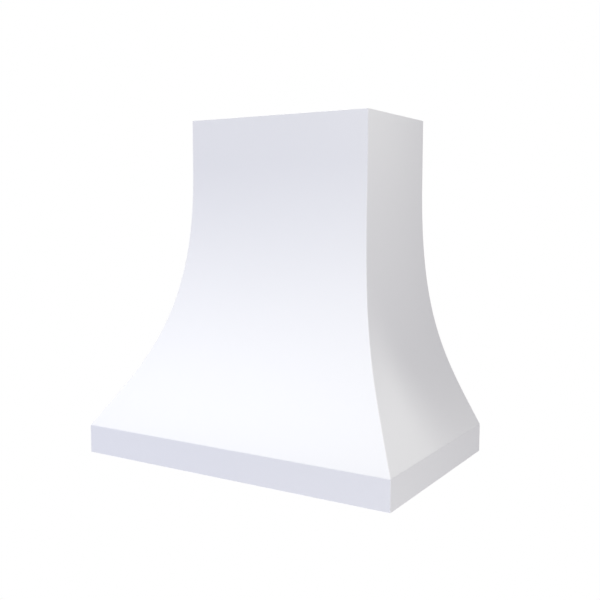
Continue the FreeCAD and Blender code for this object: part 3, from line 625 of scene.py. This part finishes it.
def eased_copy(node: str, width_mm: float) -> bmesh.types.BMesh:
    """Copies a CAD node and eases its sharp edges, as rolled or deburred sheet has them.

    Args:
        node: Name of the node.
        width_mm: Width of the eased edge.

    Returns:
        The eased shape.
    """
    shape = merged_copy(node)
    bmesh.ops.dissolve_limit(
        shape, angle_limit=FLAT_ANGLE, use_dissolve_boundaries=False,
        verts=shape.verts, edges=shape.edges,
    )
    inner = [edge for edge in shape.edges if len(edge.link_faces) == 2]
    sharp = [edge for edge in inner if edge.calc_face_angle() > SHARP_ANGLE]
    round_edges(shape, sharp, width_mm * MM, EASE_SEGMENTS)
    return shape


def ease_nodes(width_mm: float, *nodes: str) -> None:
    """Replaces CAD nodes with copies whose sharp edges are eased.

    Args:
        width_mm: Width of the eased edges.
        nodes: Names of the nodes.
    """
    for node in nodes:
        finish_piece(node + "_eased", eased_copy(node, width_mm), node)


def rounded(corners: list[Corner], steps: int = 4) -> Profile:
    """Rounds the corners of a profile.

    Args:
        corners: Radius, height and rounding of each corner.
        steps: Points on each rounded corner, less one.

    Returns:
        Radius and height of each point.
    """
    points: Profile = []
    for i, (radius, height, ease) in enumerate(corners):
        here = Vector((radius, height))
        if ease == 0.0:
            points.append((here.x, here.y))
            continue
        before = Vector(corners[i - 1][:2]) - here
        after = Vector(corners[(i + 1) % len(corners)][:2]) - here
        start = here + before.normalized() * ease
        end = here + after.normalized() * ease
        for k in range(steps + 1):
            t = k / steps
            point = start * (1 - t) ** 2 + here * 2 * t * (1 - t) + end * t ** 2
            points.append((point.x, point.y))
    return points


def turned(profile: Profile, closed: bool, segments: int) -> bmesh.types.BMesh:
    """Turns a profile about the Z axis.

    Args:
        profile: Radius and height of each point, in millimetres.
        closed: Whether the last point joins the first.
        segments: Steps around the turn.

    Returns:
        The turned shape.
    """
    shape = bmesh.new()
    verts = [shape.verts.new((radius * MM, 0.0, height * MM)) for radius, height in profile]
    pairs = list(zip(verts, verts[1:]))
    if closed:
        pairs.append((verts[-1], verts[0]))
    edges = [shape.edges.new(pair) for pair in pairs]
    bmesh.ops.spin(
        shape, geom=verts + edges, cent=(0, 0, 0), axis=(0, 0, 1), angle=math.tau, steps=segments,
        use_merge=True,
    )
    bmesh.ops.remove_doubles(shape, verts=shape.verts, dist=WELD)
    bmesh.ops.recalc_face_normals(shape, faces=shape.faces)
    return shape


def add_copy(
    whole: bmesh.types.BMesh, part: bmesh.types.BMesh, foot: Vector, way: Vector
) -> None:
    """Adds a copy of a turned part to a shape.

    Args:
        whole: Shape that takes the copy.
        part: Part that stands on the origin along Z.
        foot: Where its origin goes.
        way: Where its Z axis points.
    """
    turn = way.to_track_quat("Z", "Y").to_matrix().to_4x4()
    mesh = bpy.data.meshes.new("copy")
    part.to_mesh(mesh)
    mesh.transform(Matrix.Translation(foot) @ turn)
    whole.from_mesh(mesh)
    bpy.data.meshes.remove(mesh)


def drilled(shape: bmesh.types.BMesh, tools: bmesh.types.BMesh) -> bmesh.types.BMesh:
    """Cuts one shape out of another.

    Args:
        shape: Shape to cut, which is freed.
        tools: Shape of what goes, which is freed.

    Returns:
        What is left.
    """
    piece = add_object("drilled", shape)
    tool = add_object("drill", tools)
    cut = piece.modifiers.new("cut", "BOOLEAN")
    cut.object = tool
    cut.solver = "EXACT"
    done = piece.evaluated_get(bpy.context.evaluated_depsgraph_get())
    left = bmesh.new()
    left.from_mesh(done.to_mesh())
    bmesh.ops.remove_doubles(left, verts=left.verts, dist=TOUCH)
    done.to_mesh_clear()
    for spent in (piece, tool):
        bpy.data.meshes.remove(spent.data)
    return left


class ScrewHead(Enum):
    """Head of a screw, as the corners of its profile from the outer face inward.

    Each corner has its radius, height and rounding in millimetres.
    """

    PAN = ((3.8, 0.0, 1.6), (3.8, 2.2, 0.0))
    FLUSH = ((3.8, 0.0, 0.1), (2.0, 1.2, 0.0))


class Way(Enum):
    """Direction in which a screw or a turned piece goes in."""

    UP = (0, 0, 1)
    DOWN = (0, 0, -1)
    RIGHT = (1, 0, 0)
    LEFT = (-1, 0, 0)
    BACK = (0, 1, 0)


@dataclass(frozen=True)
class ScrewSet:
    """Alike screws with a cross recess in place of one CAD node."""

    node: str
    way: Way
    head: ScrewHead = ScrewHead.PAN
    shank_mm: float = 2.0
    tip_mm: float = 0.4
    crown_mm: float = 1.9
    arm_mm: float = 1.5
    arm_half_mm: float = 0.42
    recess_mm: float = 0.9
    recess_taper: float = 0.7
    segments: int = 24

    def _screw(self, length_mm: float) -> bmesh.types.BMesh:
        """Makes one screw that enters along Z from the origin.

        Args:
            length_mm: Length over all.

        Returns:
            Its shape.
        """
        crown = (self.crown_mm, 0.0, 0.0)
        neck = (self.shank_mm, self.head.value[1][1], 0.0)
        tip = (self.shank_mm, length_mm, self.tip_mm)
        corners = [crown, *self.head.value, neck, tip, (0.0, length_mm, 0.0)]
        screw = turned(rounded(corners), False, self.segments)
        rim = [e for e in screw.edges if e.is_boundary]
        cross = []
        for quarter in range(4):
            turn = Matrix.Rotation(quarter * math.pi / 2, 3, "Z")
            for x, y in (
                (self.arm_mm, -self.arm_half_mm), (self.arm_mm, self.arm_half_mm),
                (self.arm_half_mm, self.arm_half_mm),
            ):
                cross.append(screw.verts.new(turn @ Vector((x * MM, y * MM, 0.0))))
        outline = [screw.edges.new(pair) for pair in zip(cross, cross[1:] + cross[:1])]
        bmesh.ops.bridge_loops(screw, edges=rim + outline)
        sunk = bmesh.ops.extrude_edge_only(screw, edges=outline)["geom"]
        for vert in sunk:
            if isinstance(vert, bmesh.types.BMVert):
                vert.co = Vector((*(vert.co.xy * self.recess_taper), self.recess_mm * MM))
        floor = [edge for edge in sunk if isinstance(edge, bmesh.types.BMEdge)]
        bmesh.ops.contextual_create(screw, geom=floor)
        bmesh.ops.recalc_face_normals(screw, faces=screw.faces)
        return screw

    def build(self) -> None:
        """Makes a screw for each solid of the node."""
        way = Vector(self.way.value)
        whole = bmesh.new()
        for low, high in solid_boxes(self.node):
            middle = (low + high) / 2
            reach = abs((high - low).dot(way))
            screw = self._screw(reach / MM)
            add_copy(whole, screw, middle - way * reach / 2, way)
            screw.free()
        finish_piece(self.node + "_turned", whole, self.node)


class SubAssembly:
    """One sub-assembly of the hood: it builds new meshes and dresses the CAD nodes that stay."""

    def build(self) -> None:
        """Builds the meshes that stand in for CAD nodes."""

    def dress(self) -> None:
        """Dresses the CAD nodes that keep their own meshes."""


@dataclass
class Canopy(SubAssembly):
    """Front and side sheets, welded, ground flush and coated as one shell."""

    apron: float = 76.2 * MM
    chimney_half: float = 274.3 * MM
    chimney_depth: float = 337.0 * MM
    sheet: float = 1.2 * MM
    hem: float = 18.0 * MM
    weld_gap: float = 0.2 * MM
    bend_radius: float = 1.6 * MM
    bend_segments: int = 4
    edge_radius: float = 0.4 * MM
    edge_segments: int = 2
    # A face whose normal has less than this share in a direction doesn't look that way
    looks_share: float = 0.5
    side_straight: float = 174.4 * MM
    side_pull: float = 0.572
    side_run_share: float = 0.563
    side_rise_share: float = 0.262
    front_straight: float = 124.4 * MM
    front_pull: float = 0.588
    front_run_share: float = 0.369
    front_rise_share: float = 0.180
    rows: int = 72
    solve_steps: int = 40
    sink_radius_mm: float = 3.95
    half: float = field(init=False)
    depth: float = field(init=False)
    height: float = field(init=False)
    top_rear: float = field(init=False)
    rim_rear: float = field(init=False)
    side: Profile = field(init=False)
    front: Profile = field(init=False)

    def __post_init__(self) -> None:
        """Takes the overall sizes from the frame and works out the hems' ends and both flares."""
        low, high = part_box("front_panel")
        self.half = high.x
        self.depth = -low.y
        self.height = high.z
        self.top_rear = self.sheet + self.weld_gap
        self.rim_rear = self.hem + self.weld_gap
        self.side = self._flare(
            self.half, self.chimney_half, self.side_straight,
            self.side_pull, self.side_run_share, self.side_rise_share,
        )
        self.front = self._flare(
            self.depth, self.chimney_depth, self.front_straight,
            self.front_pull, self.front_run_share, self.front_rise_share,
        )

    def _flare(
        self, outer: float, inner: float, straight: float,
        pull: float, run_share: float, rise_share: float,
    ) -> Profile:
        """Works out the four handles of one flare.

        Args:
            outer: Reach of the apron.
            inner: Reach of the chimney.
            straight: Length of straight chimney above the curve.
            pull: Share of the fall that the first handle runs straight down.
            run_share: Share of the run between the last handle and the apron.
            rise_share: Share of the fall between the last handle and the apron.

        Returns:
            Reach and height of each handle, from the top down.
        """
        top = self.height - straight
        fall = top - self.apron
        low = (outer - run_share * (outer - inner), self.apron + rise_share * fall)
        return [(inner, top), (inner, top - pull * fall), low, (outer, self.apron)]

    def _reach(self, flare: Profile, height: float) -> float:
        """Finds how far a flare stands out at a height.

        Args:
            flare: Handles of the flare.
            height: Height above the rim.

        Returns:
            Distance from the middle plane or from the wall.
        """
        if height >= flare[0][1]:
            return flare[0][0]
        if height <= flare[-1][1]:
            return flare[-1][0]
        low, high = 0.0, 1.0
        for _ in range(self.solve_steps):
            middle = (low + high) / 2
            if self._bezier(flare, middle)[1] > height:
                low = middle
            else:
                high = middle
        return self._bezier(flare, low)[0]

    @staticmethod
    def _bezier(flare: Profile, t: float) -> tuple[float, float]:
        """Finds a point on a flare's curve.

        Args:
            flare: Handles of the flare.
            t: Share of the way from its first handle to its last.

        Returns:
            Reach and height of the point.
        """
        weights = ((1 - t) ** 3, 3 * t * (1 - t) ** 2, 3 * t * t * (1 - t), t ** 3)
        reach = sum(w * p[0] for w, p in zip(weights, flare))
        height = sum(w * p[1] for w, p in zip(weights, flare))
        return reach, height

    def _heights(self) -> list[float]:
        """Sets the heights of the rows of the shell.

        Returns:
            The top edge, even steps down the flares to the apron, and the rim.
        """
        top = self.front[0][1]
        step = (top - self.apron) / self.rows
        return [self.height, *(top - i * step for i in range(self.rows + 1)), 0.0]

    def _row(self, height: float, inset: float = 0.0, wall: float = 0.0) -> list[Vector]:
        """Places the corners of the shell at one height.

        Args:
            height: Height above the rim.
            inset: Distance inward from the outside, for the hems.
            wall: Distance of the two ends from the wall.

        Returns:
            Left end at the wall, left front corner, right front corner, right end.
        """
        x = self._reach(self.side, height) - inset
        y = self._reach(self.front, height) - inset
        return [
            Vector((-x, -wall, height)), Vector((-x, -y, height)),
            Vector((x, -y, height)), Vector((x, -wall, height)),
        ]

    @staticmethod
    def _ribbon(
        shape: bmesh.types.BMesh, rows: list[list[Vector]]
    ) -> tuple[list[Edges], list[Edges]]:
        """Draws a strip of sheet through rows of places.

        Args:
            shape: Shape that takes the strip.
            rows: Places across the strip, row by row.

        Returns:
            The edges along each row, and the edges from each row to the next.
        """
        verts = [shape.verts.new(place) for place in rows[0]]
        along = [[shape.edges.new(pair) for pair in zip(verts, verts[1:])]]
        down = []
        for places in rows[1:]:
            grown = bmesh.ops.extrude_edge_only(shape, edges=along[-1])["geom"]
            fresh = {v for v in grown if isinstance(v, bmesh.types.BMVert)}
            down.append([next(e for e in v.link_edges if e.other_vert(v) in fresh) for v in verts])
            verts = [e.other_vert(v) for v, e in zip(verts, down[-1])]
            along.append([shape.edges.get(pair) for pair in zip(verts, verts[1:])])
            for vert, place in zip(verts, places):
                vert.co = place
        return along, down

    def _flanges(self, shape: bmesh.types.BMesh) -> None:
        """Adds the two upright flanges to which the back panel is welded.

        Args:
            shape: The shell, whose thickness will bring the flanges up to the panel.
        """
        y = -2 * self.sheet
        for side in (-1, 1):
            rows = []
            for height in (self.height - self.hem, *self._heights()[1:-1], self.hem):
                x = self._reach(self.side, height) - self.sheet
                rows.append([Vector((side * u, y, height)) for u in (x, x - self.hem)])
            self._ribbon(shape, rows)

    def build(self) -> None:
        """Makes the shell as one folded sheet with its hems."""
        shell = bmesh.new()
        rows = [self._row(self.height, self.hem, self.top_rear)]
        rows += [self._row(height) for height in self._heights()]
        rows.append(self._row(0.0, self.hem, self.rim_rear))
        along, down = self._ribbon(shell, rows)
        # Both front corners, and the row at which the flares turn into the apron
        bends = [edge for step in down for edge in step[1:3]] + along[-3]
        bmesh.ops.recalc_face_normals(shell, faces=shell.faces)
        round_edges(shell, bends, self.bend_radius, self.bend_segments)
        self._flanges(shell)
        bmesh.ops.recalc_face_normals(shell, faces=shell.faces)
        bmesh.ops.solidify(shell, geom=shell.faces[:], thickness=self.sheet)
        round_edges(shell, self._rings(shell), self.edge_radius, self.edge_segments)
        finish_piece(
            "canopy_shell", drilled(shell, self._cuts()),
            "front_panel", "left_side_panel", "right_side_panel",
        )

    def _rings(self, shape: bmesh.types.BMesh) -> Edges:
        """Finds the outer edges at the top and at the rim, where the hems turn in.

        Args:
            shape: The shell with its thickness.

        Returns:
            Level edges beside a face that looks out to the front or to a side.
        """
        middle = Vector((0.0, -self.depth / 2, 0.0))
        found = []
        for edge in shape.edges:
            first, last = (vert.co for vert in edge.verts)
            level = abs(first.z - last.z) < TOUCH
            ended = min(abs(first.z), abs(first.z - self.height)) < TOUCH
            out = (first + last) / 2 - middle
            out.z = 0.0
            normals = [face.normal for face in edge.link_faces]
            sheer = [n for n in normals if max(abs(n.z), n.y) < self.looks_share]
            if level and ended and any(normal.dot(out) > 0 for normal in sheer):
                found.append(edge)
        return found

    def _cuts(self) -> bmesh.types.BMesh:
        """Makes what is cut from the shell.

        Returns:
            A countersink for each screw in its hems, and room for the back panel's hem and top.
        """
        cuts = bmesh.new()
        sink = turned(self._sink(), False, ScrewSet.segments)
        for low, high in solid_boxes("liner_screws"):
            foot = Vector(((low.x + high.x) / 2, (low.y + high.y) / 2, 0.0))
            if foot.y < -self.rim_rear:
                add_copy(cuts, sink, foot, Vector(Way.UP.value))
        sink.free()
        # Each room lies across the wall and its hem, so that it cuts right through
        for reach, rear, level in (
            (self.half, self.rim_rear, 0.0), (self.chimney_half, self.top_rear, self.height),
        ):
            room = Matrix.Diagonal((2 * (reach - self.sheet), 2 * rear, 4 * self.sheet, 1.0))
            lift = Matrix.Translation((0.0, 0.0, level))
            bmesh.ops.create_cube(cuts, size=1.0, matrix=lift @ room)
        return cuts

    def _sink(self) -> Profile:
        """Draws the countersink for a liner screw.

        Returns:
            A cone's profile that reaches past both faces of the sheet, in millimetres.
        """
        over = self.sheet / MM / 2
        deep = self.sheet / MM + over
        wide = self.sink_radius_mm
        return [(0.0, -over), (wide + over, -over), (wide - deep, deep), (0.0, deep)]


@dataclass
class BackAndTop(SubAssembly):
    """Galvanised back panel and recessed top plate, with the bushing where the supply comes in."""

    sheet_edge_mm: float = 0.3
    bushing_edge_mm: float = 0.8

    def build(self) -> None:
        """Eases the edges of both sheets and the lips of the bushing."""
        ease_nodes(self.sheet_edge_mm, "back_panel", "top_plate")
        ease_nodes(self.bushing_edge_mm, "supply_bushing")


@dataclass
class Liner(SubAssembly):
    """Brushed pan inside the rim, held to the hems by flush screws."""

    fold_mm: float = 0.35

    def build(self) -> None:
        """Eases the folds of the pan and makes its screws."""
        ease_nodes(self.fold_mm, "liner_pan")
        ScrewSet("liner_screws", Way.UP, ScrewHead.FLUSH).build()


@dataclass
class BaffleFilters(SubAssembly):
    """Three grease filters, each a channel frame, two layers of baffles and a wire handle."""

    count: int = 3
    sheet_edge_mm: float = 0.3

    def _nodes(self, part: str) -> list[str]:
        """CAD nodes of the same part on every filter."""
        return [f"filter_{i + 1}_{part}" for i in range(self.count)]

    def build(self) -> None:
        """Eases the edges of the frames and baffles."""
        ease_nodes(self.sheet_edge_mm, *self._nodes("frame"), *self._nodes("baffles"))

    def dress(self) -> None:
        """Dresses the handles and the spring clips."""
        dress_nodes(*self._nodes("handle"), "filter_clips")


@dataclass
class Lamps(SubAssembly):
    """Two lamps under the front strip: a rounded bezel around a shallow frosted dome."""

    lip_mm: float = 2.2
    lip_lean: float = 0.25
    inner_lip_mm: float = 1.0
    dome_mm: float = 0.5
    dome_rings: int = 8
    lens_edge_mm: float = 0.8
    lens_gap_mm: float = 0.3
    segments: int = 64
    sides: tuple[str, str] = ("left", "right")

    def build(self) -> None:
        """Turns a bezel and a lens for each lamp."""
        for side in self.sides:
            self._turn_piece(side + "_lamp_bezel", self._bezel)
            self._turn_piece(side + "_lamp_lens", self._lens)

    def dress(self) -> None:
        """Dresses the finned bodies above the liner."""
        dress_nodes(*(side + "_lamp_body" for side in self.sides))

    def _turn_piece(self, node: str, section_of: Callable[[float, float], Section]) -> None:
        """Turns one piece where its CAD node stands.

        Args:
            node: CAD node that the piece replaces.
            section_of: Gives the profile, and whether it is closed, for a radius and a height.
        """
        low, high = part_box(node)
        profile, closed = section_of((high.x - low.x) / 2 / MM, (high.z - low.z) / MM)
        part = turned(profile, closed, self.segments)
        shape = bmesh.new()
        foot = Vector(((low.x + high.x) / 2, (low.y + high.y) / 2, low.z))
        add_copy(shape, part, foot, Vector(Way.UP.value))
        part.free()
        finish_piece(node + "_turned", shape, node)

    def _bezel(self, radius: float, height: float) -> Section:
        """Draws the section of a bezel.

        Args:
            radius: Outer radius in millimetres.
            height: Height in millimetres.

        Returns:
            The profile from the outer foot round to the inner foot, which is closed.
        """
        low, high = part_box("left_lamp_lens")
        inner = (high.x - low.x) / 2 / MM + self.lens_gap_mm
        return rounded([
            (radius, height, 0.0), (radius - self.lip_mm * self.lip_lean, 0.0, self.lip_mm),
            (inner, 0.0, self.inner_lip_mm), (inner, height, 0.0),
        ]), True

    def _lens(self, radius: float, height: float) -> Section:
        """Draws the section of a lens.

        Args:
            radius: Outer radius in millimetres.
            height: Thickness in millimetres.

        Returns:
            The profile from the middle of the dome to the middle of the back, which stays open.
        """
        shares = [k / self.dome_rings for k in range(self.dome_rings)]
        dome = [(radius * share, self.dome_mm * share ** 2) for share in shares]
        edge = rounded([
            (*dome[-1], 0.0), (radius, self.dome_mm, self.lens_edge_mm), (radius, height, 0.0),
            (0.0, height, 0.0),
        ])
        return dome + edge[1:], False


@dataclass
class Controls(SubAssembly):
    """Plate with five push buttons under the switch housing."""

    buttons: int = 5
    plate_edge_mm: float = 0.4
    button_edge_mm: float = 0.25
    dish_mm: float = 0.45
    dish_rings: int = 4
    dish_ring_mm: float = 1.2

    def build(self) -> None:
        """Eases the plate and makes the dished buttons."""
        ease_nodes(self.plate_edge_mm, "control_plate")
        for i in range(self.buttons):
            node = f"button_{i + 1}"
            button = eased_copy(node, self.button_edge_mm)
            self._dish(button)
            finish_piece(node + "_dished", button, node)

    def dress(self) -> None:
        """Dresses the switch housing."""
        dress_nodes("switch_housing")

    def _dish(self, button: bmesh.types.BMesh) -> None:
        """Hollows the face of a button, ring by ring.

        Args:
            button: Shape of the button, which faces down.
        """
        face = min(button.faces, key=lambda f: f.calc_center_median().z)
        reach = [1 - k / self.dish_rings for k in range(self.dish_rings + 1)]
        for outer, inner in zip(reach, reach[1:]):
            bmesh.ops.inset_region(
                button, faces=[face], thickness=self.dish_ring_mm * MM,
                use_even_offset=True, use_boundary=True,
            )
            step = self.dish_mm * (outer ** 2 - inner ** 2) * MM
            bmesh.ops.translate(button, vec=(0.0, 0.0, step), verts=face.verts[:])


@dataclass
class DuctOutlet(SubAssembly):
    """Round collar on the top plate with its two damper flaps, over the flange of the blower."""

    collar_edge_mm: float = 0.25
    flap_edge_mm: float = 0.15
    flange_edge_mm: float = 0.3

    def build(self) -> None:
        """Eases the collar, the flaps and the flange, and makes their screws."""
        ease_nodes(self.collar_edge_mm, "duct_collar")
        ease_nodes(self.flap_edge_mm, "front_damper_flap", "rear_damper_flap")
        ease_nodes(self.flange_edge_mm, "outlet_flange")
        ScrewSet("collar_screws", Way.DOWN).build()
        ScrewSet("outlet_screws", Way.DOWN).build()

    def dress(self) -> None:
        """Dresses the rod on which both flaps hang."""
        dress_nodes("damper_rod")


@dataclass
class Blower(SubAssembly):
    """Squirrel-cage wheel in its scroll, with the motor on a bracket over the right inlet."""

    bracket_edge_mm: float = 0.3
    motor_edge_mm: float = 0.6
    capacitor_edge_mm: float = 0.6

    def build(self) -> None:
        """Eases the bracket, the motor and the capacitor, and makes the screws."""
        ease_nodes(self.bracket_edge_mm, "motor_bracket")
        ease_nodes(self.motor_edge_mm, "motor")
        ease_nodes(self.capacitor_edge_mm, "capacitor")
        ScrewSet("inlet_screws", Way.RIGHT).build()
        ScrewSet("motor_screws", Way.LEFT).build()

    def dress(self) -> None:
        """Dresses the scroll, its inlet rings, the wheel and the shaft."""
        dress_nodes("scroll_wrap", "left_scroll_cheek", "right_scroll_cheek")
        dress_nodes("left_inlet_ring", "right_inlet_ring", "impeller", "motor_shaft")


@dataclass
class Wiring(SubAssembly):
    """Junction cover on the back panel, its terminal block, and the two leads in their clips."""

    cover_edge_mm: float = 0.4
    block_edge_mm: float = 0.3

    def build(self) -> None:
        """Eases the cover and the terminal block, and makes the screws."""
        ease_nodes(self.cover_edge_mm, "junction_cover")
        ease_nodes(self.block_edge_mm, "terminal_block")
        ScrewSet("junction_screws", Way.BACK).build()

    def dress(self) -> None:
        """Dresses both leads and their clips."""
        dress_nodes("motor_cable", "control_cable", "cable_clips")


@dataclass(frozen=True)
class Softbox:
    """A square lamp, placed by its turn from the front, its lift and its distance in metres.

    Only a lamp that gleams shows in metal, so that the fills leave no glare on the steel.
    """

    name: str
    turn_deg: float
    lift_deg: float
    distance: float
    size: float
    power: float
    colour: str
    gleams: bool = False


@dataclass
class Studio:
    """Floor, lights, white surround and camera."""

    sky: str = "#FBF9FF"
    sky_strength: float = 0.493
    white: str = "#FFFFFF"
    white_strength: float = 1.0
    lamps: tuple[Softbox, ...] = (
        Softbox("key_from_above", -50.0, 81.0, 3.2, 0.8, 104.7, "#FEFFF8", gleams=True),
        Softbox("fill_from_low_front", -20.0, -15.0, 3.2, 1.6, 36.0, "#DDE5FF"),
        Softbox("fill_near_the_right_side", 80.0, 40.0, 1.2, 0.4, 1.77, "#FEFFFA"),
        Softbox("bounce_from_low_right", 60.0, -35.0, 2.4, 1.2, 14.0, "#FFFFFE"),
    )
    floor_paint: str = "#F0F0F0"
    floor_drop: float = 2.3
    floor_reach: float = 9.0
    fade_from: float = 0.9
    fade_to: float = 2.6
    lens_mm: float = 50.0
    camera_place: tuple[float, float, float] = (1.2190, -2.1930, 0.6578)
    camera_turn_deg: float = 31.577
    camera_tilt_deg: float = 5.928

    def floor(self) -> None:
        """Lays a pale floor below the hood, which fades into the white surround."""
        shape = bmesh.new()
        bmesh.ops.create_grid(shape, x_segments=1, y_segments=1, size=self.floor_reach)
        bmesh.ops.translate(shape, vec=(0, 0, -self.floor_drop), verts=shape.verts)
        floor = add_object("floor", shape)
        paint = bpy.data.materials.new("pale_floor_paint")
        tree = bare_tree(paint)
        matt = add_node(tree, "ShaderNodeBsdfDiffuse", {"Color": linear(self.floor_paint)})
        white = add_node(
            tree, "ShaderNodeEmission",
            {"Color": linear(self.white), "Strength": self.white_strength},
        )
        place = add_node(tree, "ShaderNodeTexCoord")
        flat = add_node(
            tree, "ShaderNodeVectorMath", {1: (1.0, 1.0, 0.0)}, {0: (place, "Object")},
            operation="MULTIPLY",
        )
        away = add_node(
            tree, "ShaderNodeVectorMath", links={0: (flat, "Vector")}, operation="LENGTH"
        )
        fade = add_node(
            tree, "ShaderNodeMapRange", {"From Min": self.fade_from, "From Max": self.fade_to},
            {"Value": (away, "Value")}, interpolation_type="SMOOTHSTEP",
        )
        share = add_node(
            tree, "ShaderNodeMath", links={0: (fade, "Result"), 1: (self._seen(tree), "Value")},
            operation="MULTIPLY",
        )
        mix = add_node(
            tree, "ShaderNodeMixShader",
            links={0: (share, "Value"), 1: (matt, "BSDF"), 2: (white, "Emission")},
        )
        add_node(tree, "ShaderNodeOutputMaterial", links={"Surface": (mix, "Shader")})
        floor.data.materials.append(paint)

    @staticmethod
    def _seen(tree: bpy.types.NodeTree) -> bpy.types.Node:
        """Adds nodes that tell what the camera, a mirror or glass shows from what lights the hood.

        Args:
            tree: Tree of the floor or the world.

        Returns:
            A node whose value is 1 for rays that show the surround.
        """
        ray = add_node(tree, "ShaderNodeLightPath")
        clear = add_node(
            tree, "ShaderNodeMath", links={0: (ray, "Is Camera Ray"), 1: (ray, "Is Glossy Ray")},
            operation="MAXIMUM",
        )
        return add_node(
            tree, "ShaderNodeMath", links={0: (clear, "Value"), 1: (ray, "Is Transmission Ray")},
            operation="MAXIMUM",
        )

    def surround(self) -> None:
        """Makes the world white to the camera and in mirrors, and plain soft light to the rest."""
        world = bpy.data.worlds.new("surround")
        bpy.context.scene.world = world
        tree = bare_tree(world)
        soft = add_node(
            tree, "ShaderNodeBackground",
            {"Color": linear(self.sky), "Strength": self.sky_strength},
        )
        white = add_node(
            tree, "ShaderNodeBackground",
            {"Color": linear(self.white), "Strength": self.white_strength},
        )
        seen = self._seen(tree)
        mix = add_node(
            tree, "ShaderNodeMixShader",
            links={0: (seen, "Value"), 1: (soft, "Background"), 2: (white, "Background")},
        )
        add_node(tree, "ShaderNodeOutputWorld", links={"Surface": (mix, "Shader")})

    def hang(self, lamp: Softbox) -> None:
        """Hangs one softbox so that it faces the hood.

        Args:
            lamp: The softbox.
        """
        light = bpy.data.lights.new(lamp.name, "AREA")
        light.size = lamp.size
        light.energy = lamp.power
        light.color = linear(lamp.colour)[:3]
        hung = bpy.data.objects.new(lamp.name, light)
        turn = math.radians(lamp.turn_deg)
        lift = math.radians(lamp.lift_deg)
        way = Vector((
            math.sin(turn) * math.cos(lift), -math.cos(turn) * math.cos(lift), math.sin(lift),
        ))
        hung.location = (CAD_BOX[0] + CAD_BOX[1]) / 2 + lamp.distance * way
        hung.rotation_euler = way.to_track_quat("Z", "Y").to_euler()
        hung.visible_camera = False
        hung.visible_glossy = lamp.gleams
        bpy.context.scene.collection.objects.link(hung)

    def camera(self) -> None:
        """Sets the camera where the photograph was taken from."""
        view = bpy.data.cameras.new("camera")
        view.lens = self.lens_mm
        eye = bpy.data.objects.new("camera", view)
        eye.location = self.camera_place
        eye.rotation_euler = (
            math.radians(90 - self.camera_tilt_deg), 0.0, math.radians(self.camera_turn_deg)
        )
        bpy.context.scene.collection.objects.link(eye)
        bpy.context.scene.camera = eye

    def build(self) -> None:
        """Sets up the whole studio."""
        self.floor()
        self.surround()
        for lamp in self.lamps:
            self.hang(lamp)
        self.camera()
        bpy.context.scene.view_settings.view_transform = "Standard"


def main() -> None:
    """Builds and dresses the sub-assemblies in order, then sets up the studio."""
    logging.basicConfig(level=logging.INFO)
    parts: tuple[SubAssembly, ...] = (
        Canopy(), BackAndTop(), Liner(), BaffleFilters(), Lamps(), Controls(), DuctOutlet(),
        Blower(), Wiring(),
    )
    for part in parts:
        LOG.info("sub-assembly %s", type(part).__name__)
        part.build()
        part.dress()
    Studio().build()


if __name__ == "__main__":
    main()
